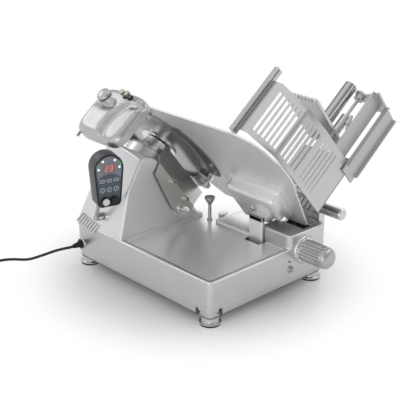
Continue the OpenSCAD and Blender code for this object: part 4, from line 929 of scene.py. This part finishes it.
# wing of the pusher lock: a white lever, wider at its ends, on a turned hub
wingSettings = {"place": (0.284, -0.450, -0.093), "turn": 30, "half": 22, "wide": 5, "low": 18, "high": 28,
                "drop": 0.0015, "waist": 0.72, "swell": 1.5, "edge": 0.003,
                "hub": [(0, 9), (4, 9), (4, 15), (8, 15), (9, 16), (9, 24), (8, 26), (5, 28), (0, 28)]}


def makeWing(s):
    mesh = bmesh.new()
    addBlock(mesh, -s["half"], s["half"], -s["wide"], s["wide"], s["low"], s["high"])
    for vert in mesh.verts:
        if vert.co.x > 0:
            vert.co.z -= s["drop"]
    bmesh.ops.subdivide_edges(mesh, edges=mesh.edges[:], cuts=3, use_grid_fill=True)
    for vert in mesh.verts:
        vert.co.y *= s["waist"] + (1 - s["waist"]) * abs(vert.co.x * 1000 / s["half"]) ** s["swell"]
    roundEdges(mesh, sharpEdges(mesh, 60), s["edge"], segments=4)
    bmesh.ops.rotate(mesh, verts=mesh.verts, cent=(0, 0, 0), matrix=spun(s["turn"], "Z").to_3x3())
    hub = bmesh.new()
    addTurned(hub, s["hub"], steps=32)
    joinMesh(mesh, hub)
    addPiece(mesh, "lockWing", "whiteGloss", stands=("pusher_wing",),
             place=feedFrame @ moved(*s["place"]) @ spun(90, "X"))


makeWing(wingSettings)

# rosette where the lead leaves the base, dark blocks beside the front foot as painted shade for its slots, and the seat
# and dot of the lock button
rosetteSettings = {"profile": [(9.2, 0), (17, 0), (17, 1.6), (15.5, 3), (10.5, 3), (9.2, 1.8), (9.2, 0)], "steps": 40,
                   "place": moved(-0.026, 0.514, 0.064) @ spun(-90, "Y")}
slotShadeSettings = {"boxes": [(-26.3, -25, 17, 27, 28.2, 47), (8, 17, -28.3, -27, 28.2, 47)]}
seatSettings = {"profile": [(6.6, -2), (10.5, -2), (10.5, 0.8), (9.6, 1.4), (6.6, 1.4), (6.6, -2)],
                "place": moved(0.280, -0.028, 0.071) @ spun(90, "X"), "slot": slotOf["lock_button"]}
dotSettings = {"profile": [(0, -2), (2.4, -2), (2.4, 0.3), (0, 0.3)],
               "place": moved(0.274, -0.028, 0.095) @ spun(90, "X"), "slot": "black_plastic"}


# thin dark blocks on the base's faces: painted shade that stands for the hollow of each slot
def makeFootSlots(s):
    mesh = bmesh.new()
    for box in s["boxes"]:
        addBlock(mesh, *box)
    addPiece(mesh, "paintedSlotShade", "darkInk", slot="black_plastic")


makeTurned("cordRosette", "fineCast", **rosetteSettings)
makeFootSlots(slotShadeSettings)
makeTurned("lockSeat", "mirrorTube", **seatSettings)
makeTurned("lockDot", "rimBlack", **dotSettings)
print("dial, wing, rosette and marks made")

# white studio floor: it glows white away from the part, less in what the metal mirrors
floorSettings = {"size": 14.0, "middle": (0.2, 0.25, 0), "white": 0.72, "rough": 0.22, "gloss": 0.4,
                 "glow": (0.05, 1.0), "glowReach": (0.25, 0.54), "mirror": (0.2, 0.85), "mirrorReach": (0.28, 0.75)}


def floorLook(tree, s):
    coords = addNode(tree, "TexCoord")
    away = addMath(tree, "DISTANCE", coords.outputs["Object"], s["middle"], "VectorMath")["Value"]
    path = addNode(tree, "LightPath").outputs
    spread = mapValue(tree, away, *s["glow"], *s["glowReach"], interpolation_type="SMOOTHSTEP")
    mirror = mapValue(tree, away, *s["mirror"], *s["mirrorReach"])
    seen = addMath(tree, "MULTIPLY", path["Is Camera Ray"], spread)["Value"]
    mirrored = addMath(tree, "MULTIPLY", path["Is Glossy Ray"], mirror)["Value"]
    glow = addNode(tree, "Emission", {"Color": (1, 1, 1, 1), "Strength": 1.0})
    mix = addNode(tree, "MixShader", {"Fac": addMath(tree, "MAXIMUM", seen, mirrored)["Value"],
                                      1: tree.nodes["Principled BSDF"].outputs["BSDF"], 2: glow.outputs["Emission"]})
    setSockets(tree, tree.nodes["Material Output"], {"Surface": mix.outputs["Shader"]})
    return {"Base Color": (s["white"], s["white"], s["white"], 1), "Roughness": s["rough"],
            "Specular IOR Level": s["gloss"]}


def makeFloor(s):
    mesh = bmesh.new()
    bmesh.ops.create_grid(mesh, x_segments=1, y_segments=1, size=s["size"])
    data = bpy.data.meshes.new("studioFloor")
    mesh.to_mesh(data)
    mesh.free()
    data.materials.append(makeMaterial("studioFloor", floorLook, s))
    addObject("studioFloor", data)


makeFloor(floorSettings)

# sky levels by height, bright near the floor, with a dark side so that the metal keeps some contrast
skySettings = {"levels": ((0.0, 0.95), (0.16, 0.85), (0.4, 0.5), (0.65, 0.46), (1.0, 0.55)), "blue": 1.01,
               "darkTowards": (0.1, -0.96, 0.26), "dark": (1.0, 0.22), "darkReach": (0.76, 0.95)}


def makeSky(s):
    world = bpy.data.worlds.new("studioWorld")
    scene.world = world
    world.use_nodes = True
    tree = world.node_tree
    direction = addNode(tree, "TexCoord").outputs["Generated"]
    apart = addNode(tree, "SeparateXYZ", {"Vector": direction})
    ramp = addNode(tree, "ValToRGB", {"Fac": apart.outputs["Z"]})
    stops = ramp.color_ramp.elements
    for position, level in s["levels"]:
        stop = next((stop for stop in stops if stop.position == position), None) or stops.new(position)
        stop.color = (level, level, level * s["blue"], 1)
    facing = addMath(tree, "DOT_PRODUCT", direction, s["darkTowards"], "VectorMath")["Value"]
    shade = mapValue(tree, facing, *s["dark"], *s["darkReach"], interpolation_type="SMOOTHSTEP")
    backdrop = tree.nodes["Background"]
    setSockets(tree, backdrop, {"Color": ramp.outputs["Color"], "Strength": shade})
    path = addNode(tree, "LightPath")
    white = addNode(tree, "Background", {"Color": (1, 1, 1, 1), "Strength": 1.0})
    blend = addNode(tree, "MixShader", {"Fac": path.outputs["Is Camera Ray"], 1: backdrop.outputs["Background"],
                                        2: white.outputs["Background"]})
    setSockets(tree, tree.nodes["World Output"], {"Surface": blend.outputs["Shader"]})


makeSky(skySettings)

# soft lamps: place, aim and size in metres, and watts
lampSettings = {
    "leftPanel": ((-1.6, 0.1, 1.2), (0.1, 0.3, 0.2), (1.0, 1.4), 3.5),
    "frontPanel": ((0.6, -2.0, 1.5), (0.2, 0.2, 0.2), (1.6, 1.0), 5),
    "topPanel": ((0.1, 0.5, 2.3), (0.2, 0.3, 0.2), (1.8, 1.8), 5),
    "rimLeft": ((-0.7, 2.1, 1.7), (0.1, 0.2, 0.15), (2.0, 0.9), 10),
    "rimRight": ((1.8, -0.8, 1.8), (0.2, 0.1, 0.15), (2.0, 0.9), 10),
    "edgePanel": ((-1.35, -0.95, 0.42), (0.0, 0.3, 0.25), (0.5, 0.7), 4),
    "backPanel": ((1.9, 1.5, 1.2), (0.3, 0.3, 0.3), (1.0, 1.4), 4),
}
for name, (place, aim, size, watts) in lampSettings.items():
    data = bpy.data.lights.new(name, "AREA")
    data.shape = "RECTANGLE"
    data.size, data.size_y = size
    data.energy = watts
    lamp = addObject(name, data)
    lamp.location = place
    lamp.rotation_euler = (Vector(aim) - Vector(place)).to_track_quat("-Z", "Y").to_euler()
print("studio lit with", len(lampSettings), "lamps")

bpy.context.view_layer.update()
